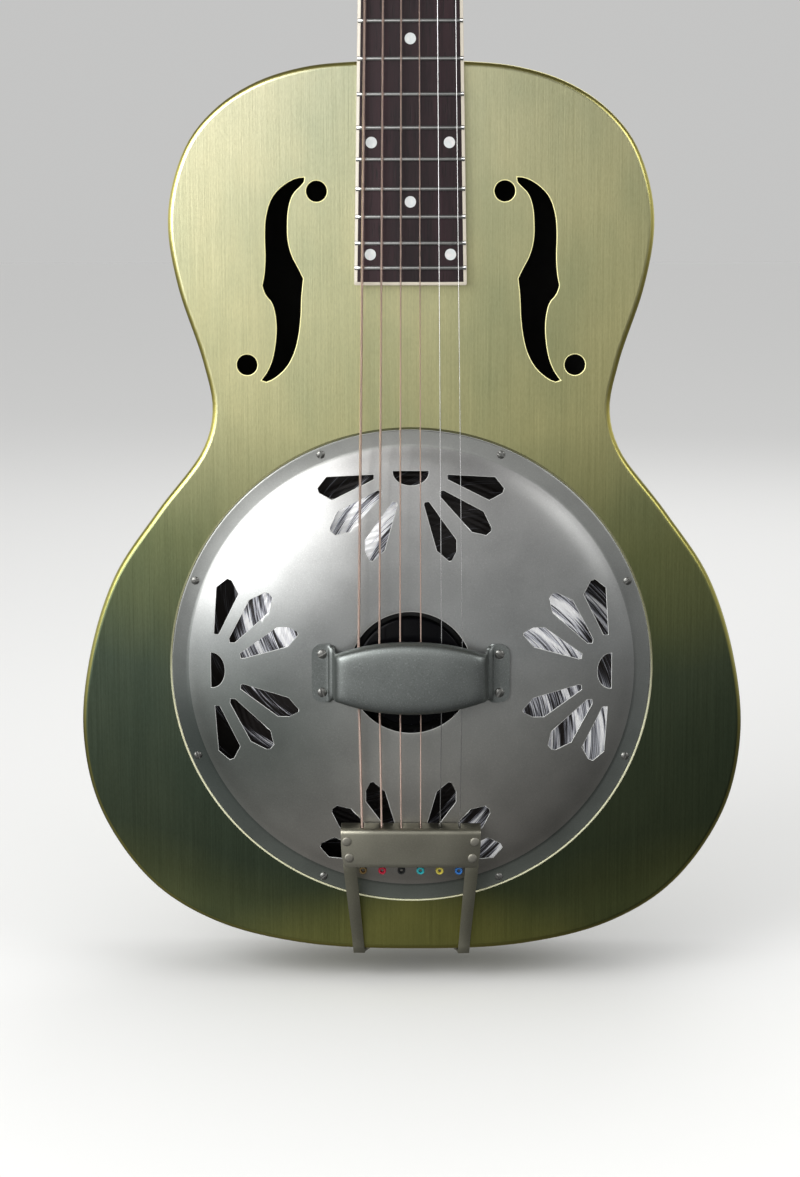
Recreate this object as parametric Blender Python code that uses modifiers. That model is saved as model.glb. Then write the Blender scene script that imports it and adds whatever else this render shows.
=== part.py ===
"""Metal-bodied resonator guitar: biscuit bridge, spun cone, round neck, 12 frets to the body.

Frame: +Z runs up the neck, the instrument faces -Y, +X is the treble side.
The origin is on the flat back plate, directly behind the centre of the cover plate.
Design dimensions are in millimetres and scaled to metres when a mesh is made.

Most pieces are modelled in the "front frame": x to the treble side, y up the neck and
z (height h) out of the top plate towards the player's view. Its empty stands on the top
plate. The headstock has its own tilted frame.
"""
import bpy
import bmesh
import math
from mathutils import Matrix, Vector, Euler

MM = 0.001
GAP = 0.3                       # clearance between pieces that touch

# ---- body -----------------------------------------------------------------------------
BODY_DEPTH = 82.5
SHEET = 1.2                     # body sheet metal
SKIRT = 8.0                     # depth of the top and back pans
RIM_RADIUS = 3.0                # rounded edge of top and back
OUTLINE_STEPS = 28              # steps on half of the outline
# half outline, top of the body to the tail: shoulder, upper bout, waist, lower bout, tail
OUTLINE = [(0, 317.0), (30, 316.6), (55, 314.0), (79, 306.8), (99, 294.7), (114.5, 277.5), (123.8, 254),
           (126.3, 232), (121.5, 202), (109, 163), (104.4, 138), (109.5, 117.5),
           (134.5, 84), (158, 49), (172.6, 4), (176.6, -38), (167.9, -79), (141, -119),
           (107, -141), (60, -153.3), (0, -156.5)]
WELL_RADIUS = 121.3             # opening in the top for the cone
# f-hole blade, bass side, clockwise from its upper tip
F_BLADE = [(-54.9, 258.0), (-59.5, 257.4), (-66.5, 253.4), (-71.8, 247.5), (-74.9, 238),
           (-75.6, 228), (-75.4, 217), (-76.1, 208), (-77.2, 202.5), (-75.6, 198),
           (-72.2, 193.7), (-70.5, 187.5), (-70.0, 180), (-70.8, 171), (-72.6, 163.2),
           (-75.2, 157.5), (-78.2, 153.4), (-75.8, 152.6), (-70.7, 155.1), (-65.0, 160.5),
           (-61.0, 168), (-58.7, 177), (-57.5, 187), (-57.0, 197.5), (-56.0, 206.2),
           (-58.6, 211.5), (-61.9, 218), (-63.9, 226), (-64.1, 235), (-63.3, 243),
           (-61.0, 249.5), (-55.2, 255.8)]
F_EYES = [(-48.7, 251.0, 5.4), (-85.7, 161.5, 5.4)]

# ---- resonator ------------------------------------------------------------------------
LEDGE_H = -21.0
CONE_RADIUS = 120.6
BISCUIT_RADIUS = 29.0
BISCUIT_TOP = 11.0
COVER_RADIUS = 127.6
COVER_HOLE = 32.5
COVER_SHEET = 0.9
# cover plate's outer surface, from the centre hole to the rim (radius, height)
COVER_PROFILE = [(32.5, 13.2), (65, 12.1), (90, 9.6), (109, 5.7), (119.0, 1.6), (127.6, 1.5)]
COVER_SCREW_CIRCLE = 124.0
CLUSTER_FOCUS = 106.0           # radius of each fan's focal point
FAN_DISC = (9.45, 7.5)          # half width and depth of the half-round hole of each fan
FAN_PETALS = [                  # (across, inwards) from the focus: outer, middle and inner petal of one half
    [(19.4, 1.5), (19.4, 4.0), (41.2, 14.8), (48.6, 10.6), (44.3, 3.0)],
    [(17.4, 9.7), (15.2, 11.2), (32.0, 31.2), (40.8, 32.6), (42.3, 29.2), (38.2, 20.7)],
    [(9.6, 15.5), (7.0, 16.4), (13.8, 41.1), (20.8, 46.6), (24.0, 41.4), (24.0, 35.4)]]
REST_SCREWS = (46.8, 10.3)
REST_FOOT_H = 13.6

# ---- strings --------------------------------------------------------------------------
SCALE = 635.0
SADDLE_H = 24.9                 # string centre line over the saddle
NUT_H = -5.1
PITCH_SADDLE = 10.93
PITCH_NUT = 7.79
PITCH_BALL = 10.26
BALL_Y, BALL_H = -108.0, 12.5
STRING_RADIUS = [0.67, 0.53, 0.41, 0.31, 0.22, 0.2]   # low E to high e
WRAPS = 1.75                    # turns of string on each post
CROWN = 400.0                   # fingerboard and saddle crown radius

# ---- neck -----------------------------------------------------------------------------
NECK_SLOPE = 0.0419             # neck set back, height per length
BOARD_AT_BODY = 6.5             # board surface over the top plate at the 12th fret
BOARD_THICK = 6.0
BOARD_END = 203.0
BINDING = 1.7
NUT_WIDTH = 44.5
BOARD_TAPER = 0.0318
FRETS = 19
FRET_H = 1.0
FRET_W = 2.2
HEAD_Y = 641.2                  # where the headstock face starts
HEAD_ANGLE = math.radians(14.0) + math.atan(NECK_SLOPE)
HEAD_THICK = 14.2
OVERLAY = 2.0

# ---- tuners ---------------------------------------------------------------------------
POST_X = 22.0
POST_YS = (52.0, 88.0, 124.0)
POST_RADIUS = 3.0
TEETH = 16
GEAR_PITCH_R = 6.2
GEAR_TIP_R = 6.9
GEAR_ROOT_R = 5.3
GEAR_THICK = 2.6
WORM_OFFSET = 8.85              # worm axis from post axis
WORM_H = -19.0                  # worm axis in the headstock frame
WORM_CORE = 1.6
WORM_TIP = 2.9
WORM_PITCH = 2 * math.pi * GEAR_PITCH_R / TEETH

# ======================================================================================
for ob in list(bpy.data.objects):
    bpy.data.objects.remove(ob, do_unlink=True)
for block in list(bpy.data.collections):
    bpy.data.collections.remove(block)

guitar = bpy.data.collections.new("resonator_guitar")
cutters = bpy.data.collections.new("cutters")
for c in (guitar, cutters):
    bpy.context.scene.collection.children.link(c)


def material(name, colour, metallic, roughness):
    m = bpy.data.materials.new(name)
    m.use_nodes = True
    b = m.node_tree.nodes["Principled BSDF"]
    b.inputs["Base Color"].default_value = (*colour, 1.0)
    b.inputs["Metallic"].default_value = metallic
    b.inputs["Roughness"].default_value = roughness
    return m


BODY = material("satin_body_metal", (0.42, 0.42, 0.36), 1.0, 0.36)
NICKEL = material("antique_nickel", (0.40, 0.40, 0.39), 1.0, 0.33)
STEEL = material("plated_steel", (0.6, 0.6, 0.58), 1.0, 0.25)
SPUN = material("spun_aluminium", (0.78, 0.78, 0.78), 1.0, 0.22)
BLACK = material("black_paint", (0.01, 0.01, 0.01), 0.0, 0.5)
MAPLE = material("maple", (0.55, 0.38, 0.2), 0.0, 0.5)
MAHOGANY = material("mahogany", (0.16, 0.055, 0.025), 0.0, 0.35)
ROSEWOOD = material("rosewood", (0.07, 0.022, 0.018), 0.0, 0.45)
CREAM = material("cream_binding", (0.72, 0.66, 0.5), 0.0, 0.35)
BONE = material("bone", (0.8, 0.76, 0.64), 0.0, 0.35)
BRONZE = material("bronze_wire", (0.6, 0.33, 0.22), 1.0, 0.3)
PINE = material("pale_wood", (0.55, 0.42, 0.26), 0.0, 0.6)

front = bpy.data.objects.new("front_frame", None)
front.location = (0, -BODY_DEPTH * MM, 0)
front.rotation_euler = (math.radians(90), 0, 0)
guitar.objects.link(front)


def board_h(y):
    """Height of the fingerboard's centre line surface over the top plate."""
    return BOARD_AT_BODY - NECK_SLOPE * (y - SCALE / 2)


HEAD_ORIGIN = Vector((0, HEAD_Y, board_h(HEAD_Y) - BOARD_THICK - GAP))
head = bpy.data.objects.new("headstock_frame", None)
head.location = HEAD_ORIGIN * MM
head.rotation_euler = (-HEAD_ANGLE, 0, 0)
head.parent = front
guitar.objects.link(head)
HEAD_MATRIX = Matrix.Translation(HEAD_ORIGIN) @ Euler((-HEAD_ANGLE, 0, 0)).to_matrix().to_4x4()


# ---- helpers --------------------------------------------------------------------------
def add(name, bm, mat=None, parent=front, loc=(0, 0, 0), rot=(0, 0, 0), cutter=False):
    bmesh.ops.scale(bm, vec=(MM, MM, MM), verts=bm.verts)
    me = bpy.data.meshes.new(name)
    bm.to_mesh(me)
    bm.free()
    return place(name, me, mat, parent, loc, rot, cutter)


def place(name, me, mat, parent=front, loc=(0, 0, 0), rot=(0, 0, 0), cutter=False):
    ob = bpy.data.objects.new(name, me)
    ob.parent = parent
    ob.location = Vector(loc) * MM
    ob.rotation_euler = rot
    if cutter:
        ob.hide_render = True
        ob.display_type = "WIRE"
        cutters.objects.link(ob)
    else:
        guitar.objects.link(ob)
        if mat and not me.materials:
            me.materials.append(mat)
        if me.polygons:
            me.shade_smooth()
            me.set_sharp_from_angle(angle=math.radians(35))
    return ob


def boolean(ob, other, op="DIFFERENCE"):
    m = ob.modifiers.new(other.name, "BOOLEAN")
    m.operation = op
    m.solver = "EXACT"
    m.object = other
    return m


def baked(ob, name):
    """The evaluated mesh of an object, welded, and the object removed."""
    dg = bpy.context.evaluated_depsgraph_get()
    dg.update()
    me = bpy.data.meshes.new_from_object(ob.evaluated_get(dg))
    me.name = name
    bm = bmesh.new()
    bm.from_mesh(me)
    bmesh.ops.remove_doubles(bm, verts=bm.verts, dist=1e-6)
    bm.to_mesh(me)
    bm.free()
    bpy.data.objects.remove(ob, do_unlink=True)
    return me


def prism(pts, z0, z1, bm=None):
    """Closed prism of a flat outline between two heights."""
    out = bm or bmesh.new()
    f = out.faces.new([out.verts.new((x, y, z0)) for x, y in pts])
    r = bmesh.ops.extrude_face_region(out, geom=[f])
    moved = [v for v in r["geom"] if isinstance(v, bmesh.types.BMVert)]
    bmesh.ops.translate(out, vec=(0, 0, z1 - z0), verts=moved)
    bmesh.ops.recalc_face_normals(out, faces=out.faces)
    return out


def box(x0, x1, y0, y1, z0, z1, bm=None):
    out = bm or bmesh.new()
    size = Matrix.Diagonal((x1 - x0, y1 - y0, z1 - z0, 1))
    at = Matrix.Translation(((x0 + x1) / 2, (y0 + y1) / 2, (z0 + z1) / 2))
    bmesh.ops.create_cube(out, size=1.0, matrix=at @ size)
    return out


def cylinder(r, z0, z1, n, at=(0, 0), bm=None, axis="Z", r2=None):
    out = bm or bmesh.new()
    turn = {"Z": Matrix.Identity(4), "X": Matrix.Rotation(math.pi / 2, 4, "Y"),
            "Y": Matrix.Rotation(-math.pi / 2, 4, "X")}[axis]
    spin = Matrix.Rotation(math.pi / n, 4, "Z")
    mid = Matrix.Translation((0, 0, (z0 + z1) / 2))
    if axis == "Z":
        shift = Matrix.Translation((at[0], at[1], 0))
    elif axis == "X":
        shift = Matrix.Translation((0, at[0], at[1]))
    else:
        shift = Matrix.Translation((at[0], 0, at[1]))
    bmesh.ops.create_cone(out, cap_ends=True, segments=n, radius1=r,
                          radius2=r if r2 is None else r2, depth=z1 - z0,
                          matrix=shift @ turn @ mid @ spin)
    return out


def turned(name, profile, steps, mat=None, closed=False, cutter=False, **where):
    """Profile (radius, height), outer side first and downwards, turned about Z."""
    bm = bmesh.new()
    vs = [bm.verts.new((r, 0, z)) for r, z in profile]
    for a, b in zip(vs, vs[1:] + ([vs[0]] if closed else [])):
        if a is not b:
            bm.edges.new((a, b))
    ob = add(name, bm, mat, cutter=cutter, **where)
    s = ob.modifiers.new("turn", "SCREW")
    s.axis = "Z"
    s.angle = math.tau
    s.steps = s.render_steps = steps
    s.use_merge_vertices = True
    s.merge_threshold = 0.00001
    s.use_smooth_shade = True
    return ob


def spline(points, steps, ends):
    """Centripetal Catmull-Rom through points; ends are the ghost points before and after."""
    pts = [Vector((*ends[0], 0))] + [Vector((*p, 0)) for p in points] + [Vector((*ends[1], 0))]
    out = []
    for i in range(1, len(pts) - 2):
        p0, p1, p2, p3 = pts[i - 1:i + 3]
        t0 = 0.0
        t1 = t0 + (p1 - p0).length ** 0.5
        t2 = t1 + (p2 - p1).length ** 0.5
        t3 = t2 + (p3 - p2).length ** 0.5
        for k in range(24):
            t = t1 + (t2 - t1) * k / 24
            a1 = p0 * ((t1 - t) / (t1 - t0)) + p1 * ((t - t0) / (t1 - t0))
            a2 = p1 * ((t2 - t) / (t2 - t1)) + p2 * ((t - t1) / (t2 - t1))
            a3 = p2 * ((t3 - t) / (t3 - t2)) + p3 * ((t - t2) / (t3 - t2))
            b1 = a1 * ((t2 - t) / (t2 - t0)) + a2 * ((t - t0) / (t2 - t0))
            b2 = a2 * ((t3 - t) / (t3 - t1)) + a3 * ((t - t1) / (t3 - t1))
            out.append(b1 * ((t2 - t) / (t2 - t1)) + b2 * ((t - t1) / (t2 - t1)))
    out.append(pts[-2])
    run = [0.0]
    for a, b in zip(out, out[1:]):
        run.append(run[-1] + (b - a).length)
    even, j = [], 0
    for k in range(steps + 1):
        want = run[-1] * k / steps
        while j < len(run) - 2 and run[j + 1] < want:
            j += 1
        f = (want - run[j]) / (run[j + 1] - run[j])
        even.append(out[j].lerp(out[j + 1], min(max(f, 0), 1)))
    return [(v.x, v.y) for v in even]


def body_outline(steps):
    half = spline(OUTLINE, steps, ((-OUTLINE[1][0], OUTLINE[1][1]), (-OUTLINE[-2][0], OUTLINE[-2][1])))
    half[0] = (0.0, OUTLINE[0][1])
    half[-1] = (0.0, OUTLINE[-1][1])
    return half + [(-x, y) for x, y in reversed(half[1:-1])]


def inset(pts, d):
    """Outline moved inwards by d (outline runs clockwise)."""
    out, n = [], len(pts)
    for i in range(n):
        a, b, c = (Vector(pts[(i + k) % n]) for k in (-1, 0, 1))
        e1, e2 = (b - a).normalized(), (c - b).normalized()
        n1, n2 = Vector((e1.y, -e1.x)), Vector((e2.y, -e2.x))
        m = (n1 + n2).normalized()
        p = b + m * (d / max(m.dot(n1), 0.5))
        out.append((p.x, p.y))
    return out


def rounded(bm, z, radius, segments):
    """Round the outline's edges that lie at height z."""
    rim = [e for e in bm.edges if all(abs(v.co.z - z) < 1e-5 for v in e.verts)]
    bmesh.ops.bevel(bm, geom=rim, offset=radius, offset_type="OFFSET", segments=segments,
                    profile=0.5, affect="EDGES", clamp_overlap=False)
    return bm


def loft(rings, closed_ends=True, bm=None):
    """Skin between rings with the same number of points."""
    out = bm or bmesh.new()
    rows = [[out.verts.new(p) for p in ring] for ring in rings]
    for a, b in zip(rows, rows[1:]):
        for i in range(len(a)):
            j = (i + 1) % len(a)
            out.faces.new((a[i], a[j], b[j], b[i]))
    if closed_ends:
        out.faces.new(rows[0])
        out.faces.new(list(reversed(rows[-1])))
    bmesh.ops.recalc_face_normals(out, faces=out.faces)
    return out


def sheet(rows, bm=None, skip=lambda i, j: False):
    """Open surface over a grid of points."""
    out = bm or bmesh.new()
    vs = [[out.verts.new(p) for p in row] for row in rows]
    for i in range(len(vs) - 1):
        for j in range(len(vs[0]) - 1):
            if not skip(i, j):
                out.faces.new((vs[i][j], vs[i + 1][j], vs[i + 1][j + 1], vs[i][j + 1]))
    bmesh.ops.delete(out, geom=[v for v in out.verts if not v.link_faces], context="VERTS")
    return out


def solidify(ob, thickness, offset):
    m = ob.modifiers.new("sheet", "SOLIDIFY")
    m.thickness = thickness * MM
    m.offset = offset
    m.use_even_offset = True
    return m


# ---- body -----------------------------------------------------------------------------
outline = body_outline(OUTLINE_STEPS)

top = add("body_top", rounded(prism(outline, -SKIRT, 0), 0, RIM_RADIUS, 2), BODY)
boolean(top, add("top_inside", rounded(prism(inset(outline, SHEET), -SKIRT - 2, -SHEET), -SHEET,
                                       RIM_RADIUS - SHEET, 1), cutter=True))
holes = cylinder(WELL_RADIUS, -6, 6, 36)
for side in (1, -1):
    prism([(x * side, y) for x, y in F_BLADE], -6, 6, holes)
    for x, y, r in F_EYES:
        cylinder(r, -6, 6, 12, (x * side, y), holes)
for k in range(8):
    a = math.radians(22.5 + 45 * k)
    cylinder(1.6, -6, 6, 6, (COVER_SCREW_CIRCLE * math.cos(a), COVER_SCREW_CIRCLE * math.sin(a)), holes)
boolean(top, add("top_holes", holes, cutter=True))

back = add("body_back", rounded(prism(outline, -BODY_DEPTH, -BODY_DEPTH + SKIRT), -BODY_DEPTH,
                                RIM_RADIUS, 2), BODY)
boolean(back, add("back_inside", rounded(prism(inset(outline, SHEET), -BODY_DEPTH + SHEET,
                                               -BODY_DEPTH + SKIRT + 2), -BODY_DEPTH + SHEET,
                                         RIM_RADIUS - SHEET, 1), cutter=True))

sides = add("body_sides", prism(outline, -BODY_DEPTH + SKIRT + GAP, -SKIRT - GAP), BODY)
boolean(sides, add("sides_inside", prism(inset(outline, SHEET), -BODY_DEPTH, 0), cutter=True))
STICK = (21.0, -36.0, -66.0)      # neck stick half width, top and bottom height
side_holes = box(-STICK[0] - 0.5, STICK[0] + 0.5, 305, 325, STICK[2] - 0.5, STICK[1] + 0.5)
cylinder(2.1, -165, -145, 10, (0, -BODY_DEPTH / 2), side_holes, "Y")
boolean(sides, add("side_holes", side_holes, cutter=True))

# ---- resonator ------------------------------------------------------------------------
turned("sound_well", [(WELL_RADIUS + 1.3, -SHEET - GAP), (WELL_RADIUS + 1.3, LEDGE_H - 1),
                      (110, LEDGE_H - 1), (110, LEDGE_H), (WELL_RADIUS + 0.2, LEDGE_H),
                      (WELL_RADIUS + 0.2, -SHEET - GAP)], 32, BODY, closed=True)
rim = LEDGE_H + GAP
turned("resonator_cone", [(2.0, 2.3), (29, 2.3), (107, rim + 0.6), (CONE_RADIUS, rim + 0.6), (CONE_RADIUS, rim),
                          (106.8, rim), (28.8, 1.7), (2.0, 1.7)],
       32, SPUN, closed=True)
biscuit = turned("biscuit", [(0, BISCUIT_TOP), (BISCUIT_RADIUS - 1, BISCUIT_TOP),
                             (BISCUIT_RADIUS, BISCUIT_TOP - 1), (BISCUIT_RADIUS, 2.6), (0, 2.6)], 20, BLACK)
bc = box(-40, 40, -1.8, 1.8, 7.0, 20)
cylinder(1.7, 0, 6.5, 8, bm=bc)
boolean(biscuit, add("biscuit_cut", bc, cutter=True))
turned("biscuit_screw", [(0, 6.2), (1.3, 5.8), (1.3, 1.4), (3.2, 1.4), (3.0, 0.2), (0, -0.2)], 10, STEEL)


def crown_drop(x):
    return CROWN - math.sqrt(CROWN * CROWN - x * x)


def string_x(i, y):
    """Sideways place of string i (0 is the low E) at y up the scale."""
    pitch = PITCH_SADDLE + (PITCH_NUT - PITCH_SADDLE) * y / SCALE
    return (i - 2.5) * pitch


top_line = [(-30, 21.5), (-28.6, 23.2)] + [(x, SADDLE_H - crown_drop(x) - 0.95) for x in (-24, -12, 0, 12, 24)] \
    + [(28.6, 23.2), (30, 21.5)]
saddle = prism([(-24, 7.3), (-26, 11.3), (-30, 11.3)] + top_line + [(30, 11.3), (26, 11.3), (24, 7.3)], -1.4, 1.4)
bmesh.ops.rotate(saddle, matrix=Matrix.Rotation(math.pi / 2, 3, "X"), verts=saddle.verts)
add("saddle", saddle, MAPLE)

# ---- cover plate ----------------------------------------------------------------------
under = [(r, h - COVER_SHEET) for r, h in COVER_PROFILE[:-1]] + [(COVER_RADIUS, COVER_PROFILE[-1][1] - COVER_SHEET)]
cover = turned("cover_plate", COVER_PROFILE + list(reversed(under)), 36, NICKEL, closed=True)
cc = bmesh.new()
for q in range(4):
    turn = Matrix.Rotation(math.radians(90 * q), 2)

    def local(along, across):
        """Point given from the focus: along runs inwards, across to the side."""
        v = turn @ Vector((CLUSTER_FOCUS - along, across))
        return (v.x, v.y)

    arc = [(-0.4 + FAN_DISC[1] * math.sin(math.radians(t)) ** 0.9, FAN_DISC[0] * math.cos(math.radians(t)))
           for t in range(0, 181, 30)]
    prism([local(a, c) for a, c in arc], -4, 20, cc)
    for petal in FAN_PETALS:
        for side in (1, -1):
            prism([local(b, a * side) for a, b in petal], -4, 20, cc)
boolean(cover, add("cover_fans", cc, cutter=True))
ch = bmesh.new()
for k in range(8):
    a = math.radians(22.5 + 45 * k)
    cylinder(1.6, -4, 20, 6, (COVER_SCREW_CIRCLE * math.cos(a), COVER_SCREW_CIRCLE * math.sin(a)), ch)
for sx in (1, -1):
    for sy in (1, -1):
        cylinder(1.6, -4, 20, 6, (REST_SCREWS[0] * sx, REST_SCREWS[1] * sy), ch)
boolean(cover, add("cover_screw_holes", ch, cutter=True))

# ---- hand rest: two feet, sloping ends and a barrel-shaped bar with turned-down edges ---
H0 = REST_FOOT_H
REST = [(52.2, H0, 10.5, 0), (50.6, H0, 14.4, 0), (47.0, H0, 15.7, 0), (43.5, H0, 15.6, 0),
        (42.2, H0 + 1.7, 13.9, 0.3), (40.9, H0 + 1.8, 13.6, 0.35), (40.0, H0 + 2.4, 12.9, 0.05), (39.5, H0 + 8, 12.5, 0), (38.6, H0 + 14, 12.0, 0.2),
        (37.0, H0 + 17, 12.2, 0.7), (33.5, H0 + 18.2, 13.6, 1), (20, H0 + 19.0, 16.9, 1),
        (0, H0 + 19.3, 18.3, 1)]
ACROSS = [(-1, 4.6), (-0.93, 1.5), (-0.75, 0.2), (0.75, 0.2), (0.93, 1.5), (1, 4.6)]
stations = [(-x, h, w, r) for x, h, w, r in REST] + [(x, h, w, r) for x, h, w, r in reversed(REST[:-1])]
rest = add("hand_rest", sheet([[(x, f * w, h - d * r) for f, d in ACROSS] for x, h, w, r in stations]), NICKEL)
solidify(rest, 1.1, 1)
rc = bmesh.new()
for sx in (1, -1):
    for sy in (1, -1):
        cylinder(1.6, H0 - 5, H0 + 5, 6, (REST_SCREWS[0] * sx, REST_SCREWS[1] * sy), rc)
boolean(rest, add("rest_screw_holes", rc, cutter=True))


# ---- slotted screws -------------------------------------------------------------------
def screw_mesh(name, head_r, dome, shank):
    ob = turned(name, [(0, dome), (head_r * 0.6, dome * 0.85), (head_r, 0), (1.15, 0), (1.15, -shank), (0, -shank)],
                8, STEEL)
    slot = add("slot", box(-5, 5, -0.3, 0.3, dome * 0.5, 5), cutter=True)
    boolean(ob, slot)
    bpy.context.view_layer.update()
    me = baked(ob, name)
    bpy.data.objects.remove(slot, do_unlink=True)
    return me


cover_screw = screw_mesh("round_head_screw", 2.1, 1.3, 5.5)
for k in range(8):
    a = math.radians(22.5 + 45 * k)
    place(f"cover_screw_{k + 1}", cover_screw, STEEL, rot=(0, 0, 0.7 + 1.9 * k),
          loc=(COVER_SCREW_CIRCLE * math.cos(a), COVER_SCREW_CIRCLE * math.sin(a), COVER_PROFILE[-1][1] + GAP))
rest_screw = screw_mesh("rest_screw", 2.3, 1.4, 9.0)
for k, (sx, sy) in enumerate(((-1, 1), (1, 1), (-1, -1), (1, -1))):
    place(f"hand_rest_screw_{k + 1}", rest_screw, STEEL, rot=(0, 0, 0.5 + 2.3 * k),
          loc=(REST_SCREWS[0] * sx, REST_SCREWS[1] * sy, H0 + 1.1 + GAP))

# ---- tailpiece ------------------------------------------------------------------------
PLATE_H = 18.9                  # middle of the tailpiece sheet
PLATE_FOLD = -85.0
tp = [(-104.6, PLATE_H, 35.0), (-100, PLATE_H, 36.6), (-90, PLATE_H, 37.2), (PLATE_FOLD - 0.9, PLATE_H, 37.3),
      (PLATE_FOLD + 0.1, PLATE_H - 0.5, 37.3), (PLATE_FOLD + 0.5, PLATE_H - 1.6, 37.3),
      (PLATE_FOLD + 2.4, PLATE_H - 7.6, 37.3)]
plate = add("tailpiece_plate", sheet([[(f * w, y, h) for f in (-1, -0.4, 0.4, 1)] for y, h, w in tp]), NICKEL)
solidify(plate, 1.2, 0)
RIVETS = [(-34.1, -90.4), (-32.9, -99.4), (34.1, -90.4), (32.9, -99.4)]
pc = bmesh.new()
for i in range(6):
    x = (i - 2.5) * (PITCH_SADDLE + (PITCH_BALL - PITCH_SADDLE) * 83 / 108)
    w = STRING_RADIUS[i] + 0.45
    box(x - w, x + w, PLATE_FOLD - 0.5, PLATE_FOLD + 4, 8, 16.7, pc)
for x, y in RIVETS:
    cylinder(1.6, 10, 25, 6, (x, y), pc)
boolean(plate, add("plate_cuts", pc, cutter=True))

END_Y = -157.3                  # inner face of the strap on the body's end
legs = [(-87, 16.4, 33.5, 7.0), (-104, 16.4, 32.6, 7.0), (-108, 15.6, 32.3, 6.9), (-148, 2.6, 29.0, 6.2),
        (-154.5, 1.0, 28.6, 6.2), (END_Y + 0.5, -0.9, 28.4, 6.2), (END_Y, -3.5, 28.3, 6.2), (END_Y, -14, 24, 6.2),
        (END_Y, -34, 9.5, 6.2), (END_Y, -48, 9.5, 6.2)]
rows = []
for y, h, c, w in legs:
    rows.append([(-c - w / 2, y, h), (-c + w / 2, y, h), (c - w / 2, y, h), (c + w / 2, y, h)])
frame_ob = add("tailpiece_frame", sheet(rows, skip=lambda i, j: j == 1 and i < 8), NICKEL)
solidify(frame_ob, 1.3, 1)
fc = bmesh.new()
for x, y in RIVETS:
    cylinder(1.6, 10, 25, 6, (x, y), fc)
cylinder(2.1, -165, -150, 10, (0, -BODY_DEPTH / 2), fc, "Y")
boolean(frame_ob, add("frame_cuts", fc, cutter=True))

rivet = turned("rivet", [(0, 21.2), (1.2, 20.95), (2.1, 19.8), (1.25, 19.8), (1.25, 16.1), (2.0, 16.1),
                         (2.0, 15.3), (0, 15.3)], 8, STEEL)
bpy.context.view_layer.update()
rivet_mesh = baked(rivet, "rivet")
for k, (x, y) in enumerate(RIVETS):
    place(f"tailpiece_rivet_{k + 1}", rivet_mesh, STEEL, loc=(x, y, 0))

# strap button: neck, flared head and a wood screw into the end block (axis along -y)
turned("strap_button", [(0, 8.0), (4.8, 8.0), (6.3, 7.2), (6.3, 6.3), (3.9, 4.7), (3.7, 2.0), (5.0, 0),
                        (1.6, 0), (1.6, -16), (0, -19)], 12, STEEL,
       loc=(0, END_Y - 1.3 - GAP, -BODY_DEPTH / 2), rot=(math.radians(90), 0, 0))

# ---- wood inside the body -------------------------------------------------------------
eb = box(-32, 32, -152.5, -133, -74, -10)
end_block = add("end_block", eb, PINE)
ebc = cylinder(2.1, -165, -138, 10, (0, -BODY_DEPTH / 2), axis="Y")
boolean(end_block, add("end_block_hole", ebc, cutter=True))
add("neck_stick", box(-STICK[0], STICK[0], -132.7, 317.6, STICK[2], STICK[1]), PINE)
turned("neck_stick_post", [(0, STICK[2] - GAP), (11, STICK[2] - GAP), (16, -BODY_DEPTH + SHEET + GAP),
                           (0, -BODY_DEPTH + SHEET + GAP)], 12, PINE, loc=(0, 130, 0))


# ---- neck -----------------------------------------------------------------------------
def half_width(y):
    return (NUT_WIDTH + BOARD_TAPER * (SCALE - y)) / 2


def neck_section(y, depth, w=None, power=2.3, top=None):
    """D-shaped section: flat under the board, rounded below."""
    w = half_width(y) if w is None else w
    zt = board_h(y) - BOARD_THICK - GAP if top is None else top
    ring = [(-w, y, zt), (w, y, zt), (w, y, zt - 1.5)]
    for t in range(15, 166, 15):
        c, s = math.cos(math.radians(t)), math.sin(math.radians(t))
        ring.append((w * math.copysign(abs(c) ** (2 / power), c), y, zt - 1.5 - (depth - 1.5) * s ** (2 / power)))
    ring.append((-w, y, zt - 1.5))
    return ring


HEEL_Y = 318.0
stations = [(HEEL_Y, 74, 1.7), (326, 70, 1.7), (333, 58, 1.75), (339, 44, 1.9), (346, 32, 2.0), (356, 23.5, 2.15),
            (372, 18.6, 2.3), (440, 17.4, 2.3), (540, 15.8, 2.3), (628, 14.6, 2.3), (641, 15.2, 2.3)]
rings = [neck_section(y, d, power=p) for y, d, p in stations]
rings.append(neck_section(662, 13.0, w=19.5, top=HEAD_ORIGIN.z - 9.5))
neck = add("neck", loft(rings), MAHOGANY)
HEAD_HALF = [(22.2, -2.0), (22.6, 4), (24.5, 12), (29.0, 21), (31.5, 30), (32.3, 60), (33.2, 100), (34.4, 140),
             (35.2, 158), (33.5, 164.5), (29.0, 167.5), (15, 171.0)]
head_outline = [(-x, y) for x, y in HEAD_HALF] + [(x, y) for x, y in reversed(HEAD_HALF)]
slab = add("headstock_slab", prism(head_outline, -HEAD_THICK, 0), parent=head, cutter=True)
boolean(neck, slab, "UNION")
nc = bmesh.new()
for x in (POST_X, -POST_X):
    for y in POST_YS:
        cylinder(4.3, -30, 30, 8, (x, y), nc)
boolean(neck, add("post_holes", nc, parent=head, cutter=True))
channel = bmesh.new()
rod_ring = []
for y in (332.0, 645.0):
    zt = board_h(y) - BOARD_THICK
    rod_ring.append([(-3.3, y, zt + 4), (3.3, y, zt + 4), (3.3, y, zt - 9.8), (-3.3, y, zt - 9.8)])
boolean(neck, add("rod_channel", loft(rod_ring, bm=channel), cutter=True))
rod = []
for y in (334.0, 643.0):
    zt = board_h(y) - BOARD_THICK - GAP - 1.0
    rod.append([(-2.9, y, zt), (2.9, y, zt), (2.9, y, zt - 8), (-2.9, y, zt - 8)])
add("truss_rod", loft(rod), STEEL)

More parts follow.
